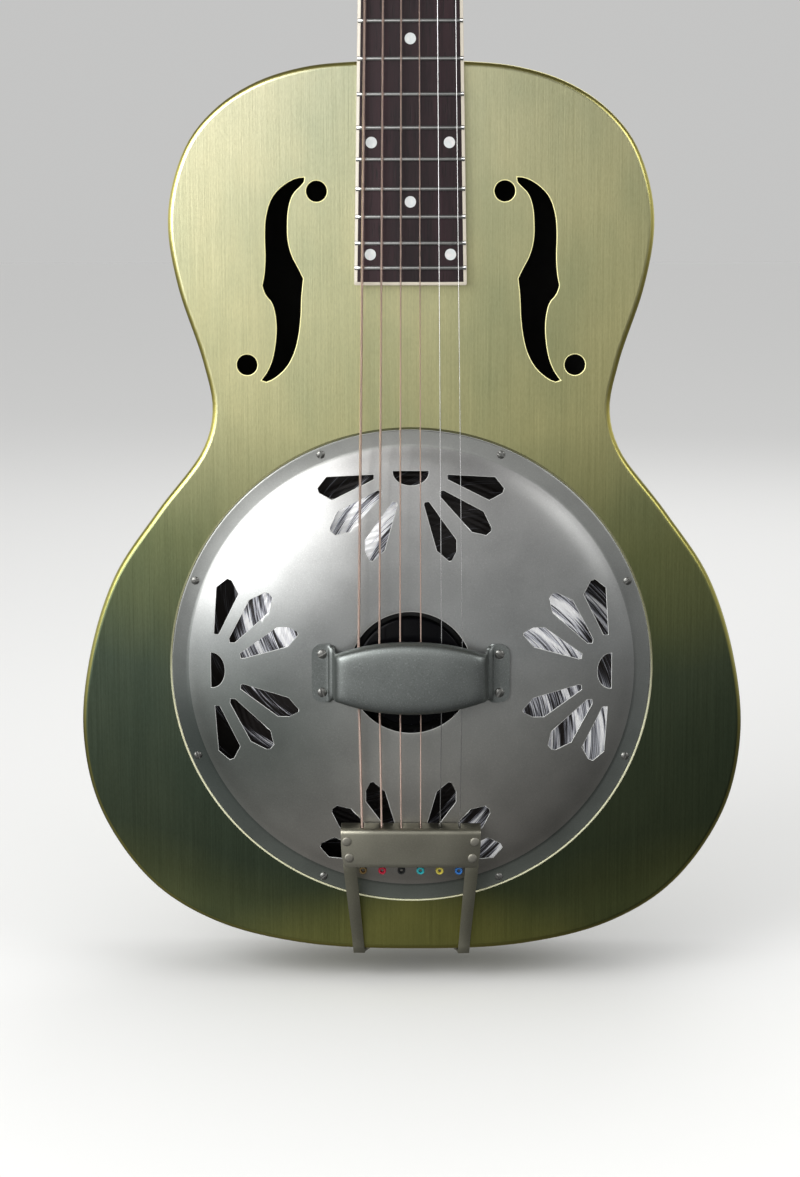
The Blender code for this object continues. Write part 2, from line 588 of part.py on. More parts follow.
# ---- fingerboard with its frets -------------------------------------------------------
b0, b1 = BOARD_END + BINDING + GAP, SCALE
line = [(b0, 0.0)]
for n in range(FRETS, 0, -1):
    y = SCALE * 2 ** (-n / 12)
    line += [(y - FRET_W / 2, 0), (y - FRET_W * 0.3, FRET_H), (y + FRET_W * 0.3, FRET_H), (y + FRET_W / 2, 0)]
line.append((b1, 0.0))
rings = []
for f in (-1, 0, 1):
    ring = []
    for y, up in line:
        x = f * (half_width(y) - BINDING - GAP)
        ring.append((x, y, board_h(y) + up - crown_drop(x)))
    for y in (b1, b0):
        x = f * (half_width(y) - BINDING - GAP)
        ring.append((x, y, board_h(y) - BOARD_THICK))
    rings.append(ring)
add("fingerboard", loft(rings), ROSEWOOD)

rows_b = []
for y in (b1, b0 - GAP):
    w = half_width(y)
    rows_b.append((w, w - BINDING, y))
(wo1, wi1, y1), (wo0, wi0, y0) = rows_b
wend = half_width(BOARD_END)
u_shape = [(-wo1, y1), (-wi1, y1), (-wi0, y0), (wi0, y0), (wi1, y1), (wo1, y1), (wend, BOARD_END), (-wend, BOARD_END)]
ub = prism(u_shape, 0, 1)
for v in ub.verts:
    drop = crown_drop(abs(v.co.x))
    v.co.z = board_h(v.co.y) - (drop if v.co.z > 0.5 else BOARD_THICK)
add("fingerboard_binding", ub, CREAM)

# wedge that carries the board over the top plate
wedge = []
for y in (BOARD_END + 2, 292.0):
    w = half_width(y) - 2.5
    wedge.append([(-w, y, GAP), (w, y, GAP), (w, y, board_h(y) - BOARD_THICK - GAP),
                  (-w, y, board_h(y) - BOARD_THICK - GAP)])
add("fingerboard_wedge", loft(wedge), MAHOGANY)

# ---- strings' centre lines: ball end, over saddle and nut, to the windings on each post -
TUNERS = [(-1, 0), (-1, 1), (-1, 2), (1, 2), (1, 1), (1, 0)]     # low E to high e: side, row


def string_path(i):
    r, (sx, row) = STRING_RADIUS[i], TUNERS[i]
    xb, xs, xn = (i - 2.5) * PITCH_BALL, string_x(i, 0), string_x(i, SCALE)
    path = [Vector((xb, BALL_Y + 1.0, BALL_H)), Vector((xs, 0, SADDLE_H - crown_drop(xs))),
            Vector((xn, SCALE + 0.6, NUT_H - crown_drop(xn)))]
    wrap, per = POST_RADIUS + 0.45 + r, 8
    a0, spin = (0.0, 1) if sx < 0 else (math.pi, -1)
    for k in range(int(WRAPS * per) + 1):
        a = a0 + spin * math.tau * k / per
        h = 9.8 - (2 * r + 0.35) * k / per
        path.append(HEAD_MATRIX @ Vector((sx * POST_X + wrap * math.cos(a),
                                          POST_YS[row] + wrap * math.sin(a), h)))
    return path


# ---- nut ------------------------------------------------------------------------------
ny0, ny1 = SCALE + GAP, HEAD_Y - 0.4
nut_rings = []
for f in (-1, -0.5, 0, 0.5, 1):
    x = f * NUT_WIDTH / 2
    zt = NUT_H - crown_drop(x) + 0.6
    zb = board_h(SCALE) - BOARD_THICK + 0.1
    nut_rings.append([(x, ny0, zb), (x, ny1, zb), (x, ny1, zt - 1.2), (x, ny0, zt)])
nut = add("nut", loft(nut_rings), BONE)
sc = bmesh.new()
for i in range(6):
    r = STRING_RADIUS[i]
    a, b, c = string_path(i)[1:4]
    run = []
    for p, q, y in ((a, b, ny0 - 3), (a, b, b.y), (b, c, ny1 + 3)):
        m = p.lerp(q, (y - p.y) / (q.y - p.y))
        run.append((m.x, y, m.z - r - 0.25))
    loft([[(x - r - 0.35, y, z), (x + r + 0.35, y, z), (x + r + 0.35, y, z + 8), (x - r - 0.35, y, z + 8)]
          for x, y, z in run], bm=sc)
boolean(nut, add("nut_slots", sc, cutter=True))

# ---- headstock overlay and truss rod cover ----------------------------------------------
ov = prism([(x * 0.995, y if y > 0 else 0.6) for x, y in head_outline], GAP, GAP + OVERLAY)
overlay = add("headstock_overlay", ov, BLACK, parent=head)
oc = bmesh.new()
for x in (POST_X, -POST_X):
    for y in POST_YS:
        cylinder(4.3, -5, 10, 8, (x, y), oc)
boolean(overlay, add("overlay_holes", oc, parent=head, cutter=True))
rod_cover = [(-11, 7), (-10.5, 18), (-7, 28), (-3, 35), (3, 35), (7, 28), (10.5, 18), (11, 7)]
add("truss_rod_cover", prism(rod_cover, OVERLAY + 2 * GAP, OVERLAY + 2 * GAP + 1.5), BLACK, parent=head)


# ---- tuners: two three-post strips with open worm gears --------------------------------
def helix_thread(length):
    """Thread ridge about the X axis; it crosses -Y at x = 0."""
    per_turn, pitch = 8, WORM_PITCH
    count = int(round(length / pitch * per_turn))
    rings = []
    for k in range(count + 1):
        x = -length / 2 + length * k / count
        phi = math.pi + math.tau * x / pitch
        c, s = math.cos(phi), math.sin(phi)
        r0, r1 = WORM_CORE - 0.5, WORM_TIP
        rings.append([(x - 0.5, r0 * c, r0 * s), (x - 0.22, r1 * c, r1 * s), (x + 0.22, r1 * c, r1 * s),
                      (x + 0.5, r0 * c, r0 * s)])
    return loft(rings)


knob = add("knob", cylinder(WORM_CORE, -8.4, 19, 8, axis="X"), STEEL, parent=None)
thread = add("thread", helix_thread(2.5 * WORM_PITCH), parent=None, cutter=True)
ball = bmesh.new()
bmesh.ops.create_uvsphere(ball, u_segments=10, v_segments=6, radius=1.0)
for v in ball.verts:
    n = v.co.copy()
    v.co = Vector((24 + 7.6 * n.z, 8.4 * n.x * (0.82 + 0.18 * n.z), 4.4 * n.y))
button = add("button", ball, parent=None, cutter=True)
boolean(knob, thread, "UNION")
boolean(knob, button, "UNION")
bpy.context.view_layer.update()
knob_mesh = baked(knob, "tuner_knob")
for ob in (thread, button):
    bpy.data.objects.remove(ob, do_unlink=True)

gear_pts = []
for t in range(TEETH):
    a = math.tau * (t + 0.5) / TEETH + math.pi / 2
    for da, r in ((-0.135, GEAR_ROOT_R), (-0.058, GEAR_TIP_R), (0.058, GEAR_TIP_R), (0.135, GEAR_ROOT_R)):
        gear_pts.append((r * math.cos(a + da), r * math.sin(a + da)))
gear = add("gear", prism(gear_pts, WORM_H - GEAR_THICK / 2, WORM_H + GEAR_THICK / 2), STEEL, parent=None)
stem = turned("stem", [(0, 15.0), (2.9, 14.4), (3.0, WORM_H - 2.0), (0, WORM_H - 2.4)],
              10, parent=None, cutter=True)
boolean(gear, stem, "UNION")
bpy.context.view_layer.update()
post_mesh = baked(gear, "tuner_post")
bpy.data.objects.remove(stem, do_unlink=True)

STRIP_TOP = -HEAD_THICK - GAP
STRIP_THICK = 1.2
for name, sx in (("left", -1), ("right", 1)):
    y0, y1 = POST_YS[0] - 13, POST_YS[-1] + 21
    a, b = sorted((sx * (POST_X - 8), sx * (POST_X + 8)))
    strip = add(f"tuner_strip_{name}", box(a, b, y0, y1, STRIP_TOP - STRIP_THICK, STRIP_TOP), NICKEL, parent=head)
    ears, sh = bmesh.new(), bmesh.new()
    for y in POST_YS:
        for at in (-6.6, 6.6):
            xc = sx * POST_X + at
            box(xc - 0.6, xc + 0.6, y + WORM_OFFSET - 3.2, y + WORM_OFFSET + 3.2, WORM_H - 3.4,
                STRIP_TOP - STRIP_THICK / 2, ears)
        c0, c1 = sx * POST_X - 9.5, sx * POST_X + 9.5
        cylinder(WORM_CORE + 0.4, c0, c1, 8, (y + WORM_OFFSET, WORM_H), sh, "X")
        cylinder(POST_RADIUS + 0.6, -30, -10, 8, (sx * POST_X, y), sh)
    boolean(strip, add(f"ears_{name}", ears, parent=head, cutter=True), "UNION")
    boolean(strip, add(f"strip_holes_{name}", sh, parent=head, cutter=True))

for i, (sx, row) in enumerate(TUNERS):
    y = POST_YS[row]
    place(f"tuner_post_{i + 1}", post_mesh, STEEL, parent=head, loc=(sx * POST_X, y, 0))
    place(f"tuner_knob_{i + 1}", knob_mesh, STEEL, parent=head, loc=(sx * POST_X, y + WORM_OFFSET, WORM_H),
          rot=(0, 0 if sx > 0 else math.pi, 0))

# ---- strings ---------------------------------------------------------------------------
for i in range(6):
    r, xb, path = STRING_RADIUS[i], (i - 2.5) * PITCH_BALL, string_path(i)
    cu = bpy.data.curves.new(f"string_{i + 1}", "CURVE")
    cu.dimensions = "3D"
    cu.bevel_depth = r * MM
    cu.bevel_resolution = 1
    cu.use_fill_caps = True
    sp = cu.splines.new("POLY")
    sp.points.add(len(path) - 1)
    for p, v in zip(sp.points, path):
        p.co = (*(v * MM), 1)
    wire = bpy.data.objects.new(f"wire_{i + 1}", cu)
    guitar.objects.link(wire)
    bpy.context.view_layer.update()
    me = baked(wire, f"string_{i + 1}")
    me.materials.clear()
    ob = place(f"string_{i + 1}", me, BRONZE if i < 4 else STEEL)
    bl = add(f"ball_{i + 1}", cylinder(2.0, BALL_H - 1.5, BALL_H + 1.5, 10, (xb, BALL_Y)), cutter=True)
    boolean(ob, bl, "UNION")
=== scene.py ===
"""Looks of the resonator guitar: fine meshes, materials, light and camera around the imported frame."""
import bpy
import bmesh
import math
from mathutils import Matrix, Vector, Euler

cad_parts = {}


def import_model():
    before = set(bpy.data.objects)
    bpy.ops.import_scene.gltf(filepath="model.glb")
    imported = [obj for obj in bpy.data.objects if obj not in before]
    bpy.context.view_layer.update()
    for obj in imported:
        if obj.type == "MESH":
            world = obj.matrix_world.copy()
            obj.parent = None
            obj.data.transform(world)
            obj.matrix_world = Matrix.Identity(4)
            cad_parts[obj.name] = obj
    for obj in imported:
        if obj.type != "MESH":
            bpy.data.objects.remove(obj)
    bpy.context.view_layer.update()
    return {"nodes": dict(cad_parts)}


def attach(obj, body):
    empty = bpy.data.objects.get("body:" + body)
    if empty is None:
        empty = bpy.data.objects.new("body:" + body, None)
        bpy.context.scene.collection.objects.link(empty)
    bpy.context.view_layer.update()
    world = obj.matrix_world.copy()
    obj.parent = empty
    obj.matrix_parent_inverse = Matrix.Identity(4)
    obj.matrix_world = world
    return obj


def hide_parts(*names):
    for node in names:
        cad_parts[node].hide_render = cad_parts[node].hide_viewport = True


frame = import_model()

MM = 0.001
GAP = 0.3                       # clearance between pieces that touch

# ---- body -----------------------------------------------------------------------------
BODY_DEPTH = 82.5
SHEET = 1.2                     # body sheet metal
SKIRT = 8.0                     # depth of the top and back pans
RIM_RADIUS = 3.0                # rounded edge of top and back
OUTLINE_STEPS = 28              # steps on half of the outline
# half outline, top of the body to the tail: shoulder, upper bout, waist, lower bout, tail
OUTLINE = [(0, 317.0), (30, 316.6), (55, 314.0), (79, 306.8), (99, 294.7), (114.5, 277.5), (123.8, 254),
           (126.3, 232), (121.5, 202), (109, 163), (104.4, 138), (109.5, 117.5),
           (134.5, 84), (158, 49), (172.6, 4), (176.6, -38), (167.9, -79), (141, -119),
           (107, -141), (60, -153.3), (0, -156.5)]
WELL_RADIUS = 121.3             # opening in the top for the cone
# f-hole blade, bass side, clockwise from its upper tip
F_BLADE = [(-54.9, 258.0), (-59.5, 257.4), (-66.5, 253.4), (-71.8, 247.5), (-74.9, 238),
           (-75.6, 228), (-75.4, 217), (-76.1, 208), (-77.2, 202.5), (-75.6, 198),
           (-72.2, 193.7), (-70.5, 187.5), (-70.0, 180), (-70.8, 171), (-72.6, 163.2),
           (-75.2, 157.5), (-78.2, 153.4), (-75.8, 152.6), (-70.7, 155.1), (-65.0, 160.5),
           (-61.0, 168), (-58.7, 177), (-57.5, 187), (-57.0, 197.5), (-56.0, 206.2),
           (-58.6, 211.5), (-61.9, 218), (-63.9, 226), (-64.1, 235), (-63.3, 243),
           (-61.0, 249.5), (-55.2, 255.8)]
F_EYES = [(-48.7, 251.0, 5.4), (-85.7, 161.5, 5.4)]

# ---- resonator ------------------------------------------------------------------------
LEDGE_H = -21.0
CONE_RADIUS = 120.6
BISCUIT_RADIUS = 29.0
BISCUIT_TOP = 11.0
COVER_RADIUS = 127.6
COVER_HOLE = 32.5
COVER_SHEET = 0.9
# cover plate's outer surface, from the centre hole to the rim (radius, height)
COVER_PROFILE = [(32.5, 13.2), (65, 12.1), (90, 9.6), (109, 5.7), (119.0, 1.6), (127.6, 1.5)]
COVER_SCREW_CIRCLE = 124.0
CLUSTER_FOCUS = 106.0           # radius of each fan's focal point
FAN_DISC = (9.45, 7.5)          # half width and depth of the half-round hole of each fan
FAN_PETALS = [                  # (across, inwards) from the focus: outer, middle and inner petal of one half
    [(19.4, 1.5), (19.4, 4.0), (41.2, 14.8), (48.6, 10.6), (44.3, 3.0)],
    [(17.4, 9.7), (15.2, 11.2), (32.0, 31.2), (40.8, 32.6), (42.3, 29.2), (38.2, 20.7)],
    [(9.6, 15.5), (7.0, 16.4), (13.8, 41.1), (20.8, 46.6), (24.0, 41.4), (24.0, 35.4)]]
REST_SCREWS = (46.8, 10.3)
REST_FOOT_H = 13.6

# ---- strings --------------------------------------------------------------------------
SCALE = 635.0
SADDLE_H = 24.9                 # string centre line over the saddle
NUT_H = -5.1
PITCH_SADDLE = 10.93
PITCH_NUT = 7.79
PITCH_BALL = 10.26
BALL_Y, BALL_H = -108.0, 12.5
STRING_RADIUS = [0.67, 0.53, 0.41, 0.31, 0.22, 0.2]   # low E to high e
WRAPS = 1.75                    # turns of string on each post
CROWN = 400.0                   # fingerboard and saddle crown radius

# ---- neck -----------------------------------------------------------------------------
NECK_SLOPE = 0.0419             # neck set back, height per length
BOARD_AT_BODY = 6.5             # board surface over the top plate at the 12th fret
BOARD_THICK = 6.0
BOARD_END = 203.0
BINDING = 1.7
NUT_WIDTH = 44.5
BOARD_TAPER = 0.0318
FRETS = 19
FRET_H = 1.0
FRET_W = 2.2
HEAD_Y = 641.2                  # where the headstock face starts
HEAD_ANGLE = math.radians(14.0) + math.atan(NECK_SLOPE)
HEAD_THICK = 14.2
OVERLAY = 2.0

# ---- tuners ---------------------------------------------------------------------------
POST_X = 22.0
POST_YS = (52.0, 88.0, 124.0)
POST_RADIUS = 3.0
TEETH = 16
GEAR_PITCH_R = 6.2
GEAR_TIP_R = 6.9
GEAR_ROOT_R = 5.3
GEAR_THICK = 2.6
WORM_OFFSET = 8.85              # worm axis from post axis
WORM_H = -19.0                  # worm axis in the headstock frame
WORM_CORE = 1.6
WORM_TIP = 2.9
WORM_PITCH = 2 * math.pi * GEAR_PITCH_R / TEETH

def prism(pts, z0, z1, bm=None):
    """Closed prism of a flat outline between two heights."""
    out = bm or bmesh.new()
    f = out.faces.new([out.verts.new((x, y, z0)) for x, y in pts])
    r = bmesh.ops.extrude_face_region(out, geom=[f])
    moved = [v for v in r["geom"] if isinstance(v, bmesh.types.BMVert)]
    bmesh.ops.translate(out, vec=(0, 0, z1 - z0), verts=moved)
    bmesh.ops.recalc_face_normals(out, faces=out.faces)
    return out


def box(x0, x1, y0, y1, z0, z1, bm=None):
    out = bm or bmesh.new()
    size = Matrix.Diagonal((x1 - x0, y1 - y0, z1 - z0, 1))
    at = Matrix.Translation(((x0 + x1) / 2, (y0 + y1) / 2, (z0 + z1) / 2))
    bmesh.ops.create_cube(out, size=1.0, matrix=at @ size)
    return out


def cylinder(r, z0, z1, n, at=(0, 0), bm=None, axis="Z", r2=None):
    out = bm or bmesh.new()
    turn = {"Z": Matrix.Identity(4), "X": Matrix.Rotation(math.pi / 2, 4, "Y"),
            "Y": Matrix.Rotation(-math.pi / 2, 4, "X")}[axis]
    spin = Matrix.Rotation(math.pi / n, 4, "Z")
    mid = Matrix.Translation((0, 0, (z0 + z1) / 2))
    if axis == "Z":
        shift = Matrix.Translation((at[0], at[1], 0))
    elif axis == "X":
        shift = Matrix.Translation((0, at[0], at[1]))
    else:
        shift = Matrix.Translation((at[0], 0, at[1]))
    bmesh.ops.create_cone(out, cap_ends=True, segments=n, radius1=r,
                          radius2=r if r2 is None else r2, depth=z1 - z0,
                          matrix=shift @ turn @ mid @ spin)
    return out


def spline(points, steps, ends):
    """Centripetal Catmull-Rom through points; ends are the ghost points before and after."""
    pts = [Vector((*ends[0], 0))] + [Vector((*p, 0)) for p in points] + [Vector((*ends[1], 0))]
    out = []
    for i in range(1, len(pts) - 2):
        p0, p1, p2, p3 = pts[i - 1:i + 3]
        t0 = 0.0
        t1 = t0 + (p1 - p0).length ** 0.5
        t2 = t1 + (p2 - p1).length ** 0.5
        t3 = t2 + (p3 - p2).length ** 0.5
        for k in range(24):
            t = t1 + (t2 - t1) * k / 24
            a1 = p0 * ((t1 - t) / (t1 - t0)) + p1 * ((t - t0) / (t1 - t0))
            a2 = p1 * ((t2 - t) / (t2 - t1)) + p2 * ((t - t1) / (t2 - t1))
            a3 = p2 * ((t3 - t) / (t3 - t2)) + p3 * ((t - t2) / (t3 - t2))
            b1 = a1 * ((t2 - t) / (t2 - t0)) + a2 * ((t - t0) / (t2 - t0))
            b2 = a2 * ((t3 - t) / (t3 - t1)) + a3 * ((t - t1) / (t3 - t1))
            out.append(b1 * ((t2 - t) / (t2 - t1)) + b2 * ((t - t1) / (t2 - t1)))
    out.append(pts[-2])
    run = [0.0]
    for a, b in zip(out, out[1:]):
        run.append(run[-1] + (b - a).length)
    even, j = [], 0
    for k in range(steps + 1):
        want = run[-1] * k / steps
        while j < len(run) - 2 and run[j + 1] < want:
            j += 1
        f = (want - run[j]) / (run[j + 1] - run[j])
        even.append(out[j].lerp(out[j + 1], min(max(f, 0), 1)))
    return [(v.x, v.y) for v in even]


def inset(pts, d):
    """Outline moved inwards by d (outline runs clockwise)."""
    out, n = [], len(pts)
    for i in range(n):
        a, b, c = (Vector(pts[(i + k) % n]) for k in (-1, 0, 1))
        e1, e2 = (b - a).normalized(), (c - b).normalized()
        n1, n2 = Vector((e1.y, -e1.x)), Vector((e2.y, -e2.x))
        m = (n1 + n2).normalized()
        p = b + m * (d / max(m.dot(n1), 0.5))
        out.append((p.x, p.y))
    return out


def rounded(bm, z, radius, segments):
    """Round the outline's edges that lie at height z."""
    rim = [e for e in bm.edges if all(abs(v.co.z - z) < 1e-5 for v in e.verts)]
    bmesh.ops.bevel(bm, geom=rim, offset=radius, offset_type="OFFSET", segments=segments,
                    profile=0.5, affect="EDGES", clamp_overlap=False)
    return bm


def loft(rings, closed_ends=True, bm=None):
    """Skin between rings with the same number of points."""
    out = bm or bmesh.new()
    rows = [[out.verts.new(p) for p in ring] for ring in rings]
    for a, b in zip(rows, rows[1:]):
        for i in range(len(a)):
            j = (i + 1) % len(a)
            out.faces.new((a[i], a[j], b[j], b[i]))
    if closed_ends:
        out.faces.new(rows[0])
        out.faces.new(list(reversed(rows[-1])))
    bmesh.ops.recalc_face_normals(out, faces=out.faces)
    return out


def sheet(rows, bm=None, skip=lambda i, j: False):
    """Open surface over a grid of points."""
    out = bm or bmesh.new()
    vs = [[out.verts.new(p) for p in row] for row in rows]
    for i in range(len(vs) - 1):
        for j in range(len(vs[0]) - 1):
            if not skip(i, j):
                out.faces.new((vs[i][j], vs[i + 1][j], vs[i + 1][j + 1], vs[i][j + 1]))
    bmesh.ops.delete(out, geom=[v for v in out.verts if not v.link_faces], context="VERTS")
    return out



# ---- frames, in metres -----------------------------------------------------------------
def board_h(y):
    return BOARD_AT_BODY - NECK_SLOPE * (y - SCALE / 2)


HEAD_ORIGIN = Vector((0, HEAD_Y, board_h(HEAD_Y) - BOARD_THICK - GAP))
HEAD_MATRIX = Matrix.Translation(HEAD_ORIGIN) @ Euler((-HEAD_ANGLE, 0, 0)).to_matrix().to_4x4()
FRONT = Matrix.Translation((0, -BODY_DEPTH * MM, 0)) @ Matrix.Rotation(math.pi / 2, 4, "X")
HEAD = FRONT @ Matrix.Translation(HEAD_ORIGIN * MM) @ Euler((-HEAD_ANGLE, 0, 0)).to_matrix().to_4x4()
ROOT = "instrument"
scene = bpy.context.scene

# ---- materials -------------------------------------------------------------------------
class Nodes:
    """Short way to write a node tree."""
    def __init__(self, name):
        self.mat = bpy.data.materials.new(name)
        self.mat.use_nodes = True
        self.t = self.mat.node_tree
        self.b = self.t.nodes["Principled BSDF"]

    def n(self, kind, **props):
        nd = self.t.nodes.new(kind)
        for k, v in props.items():
            if k in nd.inputs:
                nd.inputs[k].default_value = v
            else:
                setattr(nd, k, v)
        return nd

    def l(self, a, b):
        self.t.links.new(a, b)

    def coords(self, scale=(1, 1, 1)):
        tc = self.n("ShaderNodeTexCoord")
        mp = self.n("ShaderNodeMapping")
        mp.inputs["Scale"].default_value = scale
        self.l(tc.outputs["Object"], mp.inputs["Vector"])
        return mp.outputs["Vector"]

    def noise(self, vec, scale=1.0, detail=4.0, rough=0.55, distortion=0.0):
        nd = self.n("ShaderNodeTexNoise")
        nd.inputs["Scale"].default_value = scale
        nd.inputs["Detail"].default_value = detail
        nd.inputs["Roughness"].default_value = rough
        nd.inputs["Distortion"].default_value = distortion
        self.l(vec, nd.inputs["Vector"])
        return nd.outputs["Fac"]

    def ramp(self, fac, stops, interp="LINEAR"):
        nd = self.n("ShaderNodeValToRGB")
        cr = nd.color_ramp
        cr.interpolation = interp
        while len(cr.elements) < len(stops):
            cr.elements.new(0.5)
        for e, (p, c) in zip(cr.elements, stops):
            e.position = p
            e.color = (*c, 1) if len(c) == 3 else c
        self.l(fac, nd.inputs["Fac"])
        return nd.outputs["Color"]

    def mix(self, fac, a, b, kind="MIX"):
        nd = self.n("ShaderNodeMix", data_type="RGBA", blend_type=kind)
        for src, i in ((fac, 0), (a, 6), (b, 7)):
            if isinstance(src, (int, float)):
                nd.inputs[i].default_value = src
            elif isinstance(src, tuple):
                nd.inputs[i].default_value = (*src, 1)
            else:
                self.l(src, nd.inputs[i])
        return nd.outputs[2]

    def math(self, op, a, b=0.0, c=None):
        nd = self.n("ShaderNodeMath", operation=op)
        for i, v in enumerate((a, b) if c is None else (a, b, c)):
            if isinstance(v, (int, float)):
                nd.inputs[i].default_value = v
            else:
                self.l(v, nd.inputs[i])
        return nd.outputs[0]

    def rough(self, fac, lo, hi):
        nd = self.n("ShaderNodeMapRange")
        nd.inputs["To Min"].default_value = lo
        nd.inputs["To Max"].default_value = hi
        self.l(fac, nd.inputs["Value"])
        self.l(nd.outputs["Result"], self.b.inputs["Roughness"])

    def bump(self, height, strength, distance, after=None):
        nd = self.n("ShaderNodeBump")
        nd.inputs["Strength"].default_value = strength
        nd.inputs["Distance"].default_value = distance
        self.l(height, nd.inputs["Height"])
        if after is not None:
            self.l(after, nd.inputs["Normal"])
        self.l(nd.outputs["Normal"], self.b.inputs["Normal"])
        return nd.outputs["Normal"]

    def base(self, colour):
        if isinstance(colour, tuple):
            self.b.inputs["Base Color"].default_value = (*colour, 1)
        else:
            self.l(colour, self.b.inputs["Base Color"])

    def set(self, **kw):
        for k, v in kw.items():
            self.b.inputs[k.replace("_", " ")].default_value = v
        return self


def body_metal(name):
    """Brushed olive-gold plate. Its turn from bright olive-gold high up to dark green towards the lower bout, the
    lighter left side, the lighter bottom centre and the yellower rim are painted reflection and shade.
    """
    m = Nodes(name)
    tc = m.n("ShaderNodeTexCoord")
    sep = m.n("ShaderNodeSeparateXYZ")
    m.l(tc.outputs["Object"], sep.inputs[0])
    x, z = sep.outputs["X"], sep.outputs["Z"]
    # height term with a wavy edge for the painted reflection: the painted dark reaches higher up at the sides than in
    # the middle
    wav = m.noise(m.coords((6, 6, 6)), 1.0, 2.0)
    zz = m.math("ADD", z, m.math("MULTIPLY", m.math("SUBTRACT", wav, 0.5), 0.04))
    k = m.math("SUBTRACT", zz, m.math("MULTIPLY", m.math("ABSOLUTE", x), 0.30))
    fac = m.n("ShaderNodeMapRange")
    fac.inputs["From Min"].default_value = -0.165
    fac.inputs["From Max"].default_value = 0.30
    m.l(k, fac.inputs["Value"])
    tone = m.ramp(fac.outputs["Result"], BODY_PAINTED_REFLECTION_TONES)
    # painted light: lighter and bluer on the left where the key light falls, darker on the right
    lr = m.n("ShaderNodeMapRange", interpolation_type="SMOOTHSTEP")
    lr.inputs["From Min"].default_value = -0.13
    lr.inputs["From Max"].default_value = 0.13
    m.l(x, lr.inputs["Value"])
    # painted reflection: a lighter yellow-olive patch at the bottom centre
    warm = m.math("ADD", z, m.math("MULTIPLY", m.math("ABSOLUTE", x), 0.30))
    low = m.n("ShaderNodeMapRange", interpolation_type="SMOOTHSTEP")
    low.inputs["From Min"].default_value = -0.102
    low.inputs["From Max"].default_value = -0.140
    m.l(warm, low.inputs["Value"])
    tone = m.mix(low.outputs["Result"], tone, (0.42, 0.415, 0.115))
    shade = m.ramp(lr.outputs["Result"], [(0.0, (1.0, 0.985, 1.10)), (0.40, (0.95, 0.95, 1.0)), (0.62, (0.86, 0.85, 0.86)), (1.0, (0.80, 0.78, 0.74))])
    streak = m.noise(m.coords((1900, 1900, 16)), 1.0, 3.0, 0.6)
    fine = m.noise(m.coords((1500, 1500, 420)), 1.0, 2.0, 0.5)
    soft = m.noise(m.coords((17, 17, 9)), 1.0, 3.0, 0.6)
    tint = m.ramp(m.math("ADD", m.math("MULTIPLY", streak, 0.6), m.math("MULTIPLY", fine, 0.4)), [(0.35, (0.84, 0.84, 0.81)), (0.65, (1.0, 1.0, 1.0))])
    cloud = m.ramp(soft, [(0.35, (0.80, 0.85, 0.87)), (0.62, (1.0, 1.0, 1.0))])
    col = m.mix(1.0, tone, tint, "MULTIPLY")
    col = m.mix(1.0, col, shade, "MULTIPLY")
    col = m.mix(1.0, col, cloud, "MULTIPLY")
    # the rounded rim is painted a yellower gold, a painted highlight line along the edge
    nrm = m.n("ShaderNodeSeparateXYZ")
    m.l(tc.outputs["Normal"], nrm.inputs[0])
    rim = m.n("ShaderNodeMapRange")
    rim.inputs["From Min"].default_value = 0.985
    rim.inputs["From Max"].default_value = 0.90
    facing = m.math("ABSOLUTE", nrm.outputs["Y"])
    m.l(facing, rim.inputs["Value"])
    flank = m.n("ShaderNodeMapRange")          # not the flat sides
    flank.inputs["From Min"].default_value = 0.04
    flank.inputs["From Max"].default_value = 0.40
    m.l(facing, flank.inputs["Value"])
    m.base(m.mix(m.math("MULTIPLY", rim.outputs["Result"], flank.outputs["Result"]), col, m.mix(0.5, m.mix(1.0, col, (0.95, 0.86, 0.42), "MULTIPLY"), (0.62, 0.56, 0.17))))
    m.rough(streak, 0.25, 0.37)
    both = m.math("ADD", streak, m.math("MULTIPLY", fine, 0.6))
    m.bump(both, 0.28, 0.00012)
    m.set(Metallic=1.0)
    m.b.inputs["Coat Weight"].default_value = 0.10
    m.b.inputs["Coat Roughness"].default_value = 0.3
    return m.mat


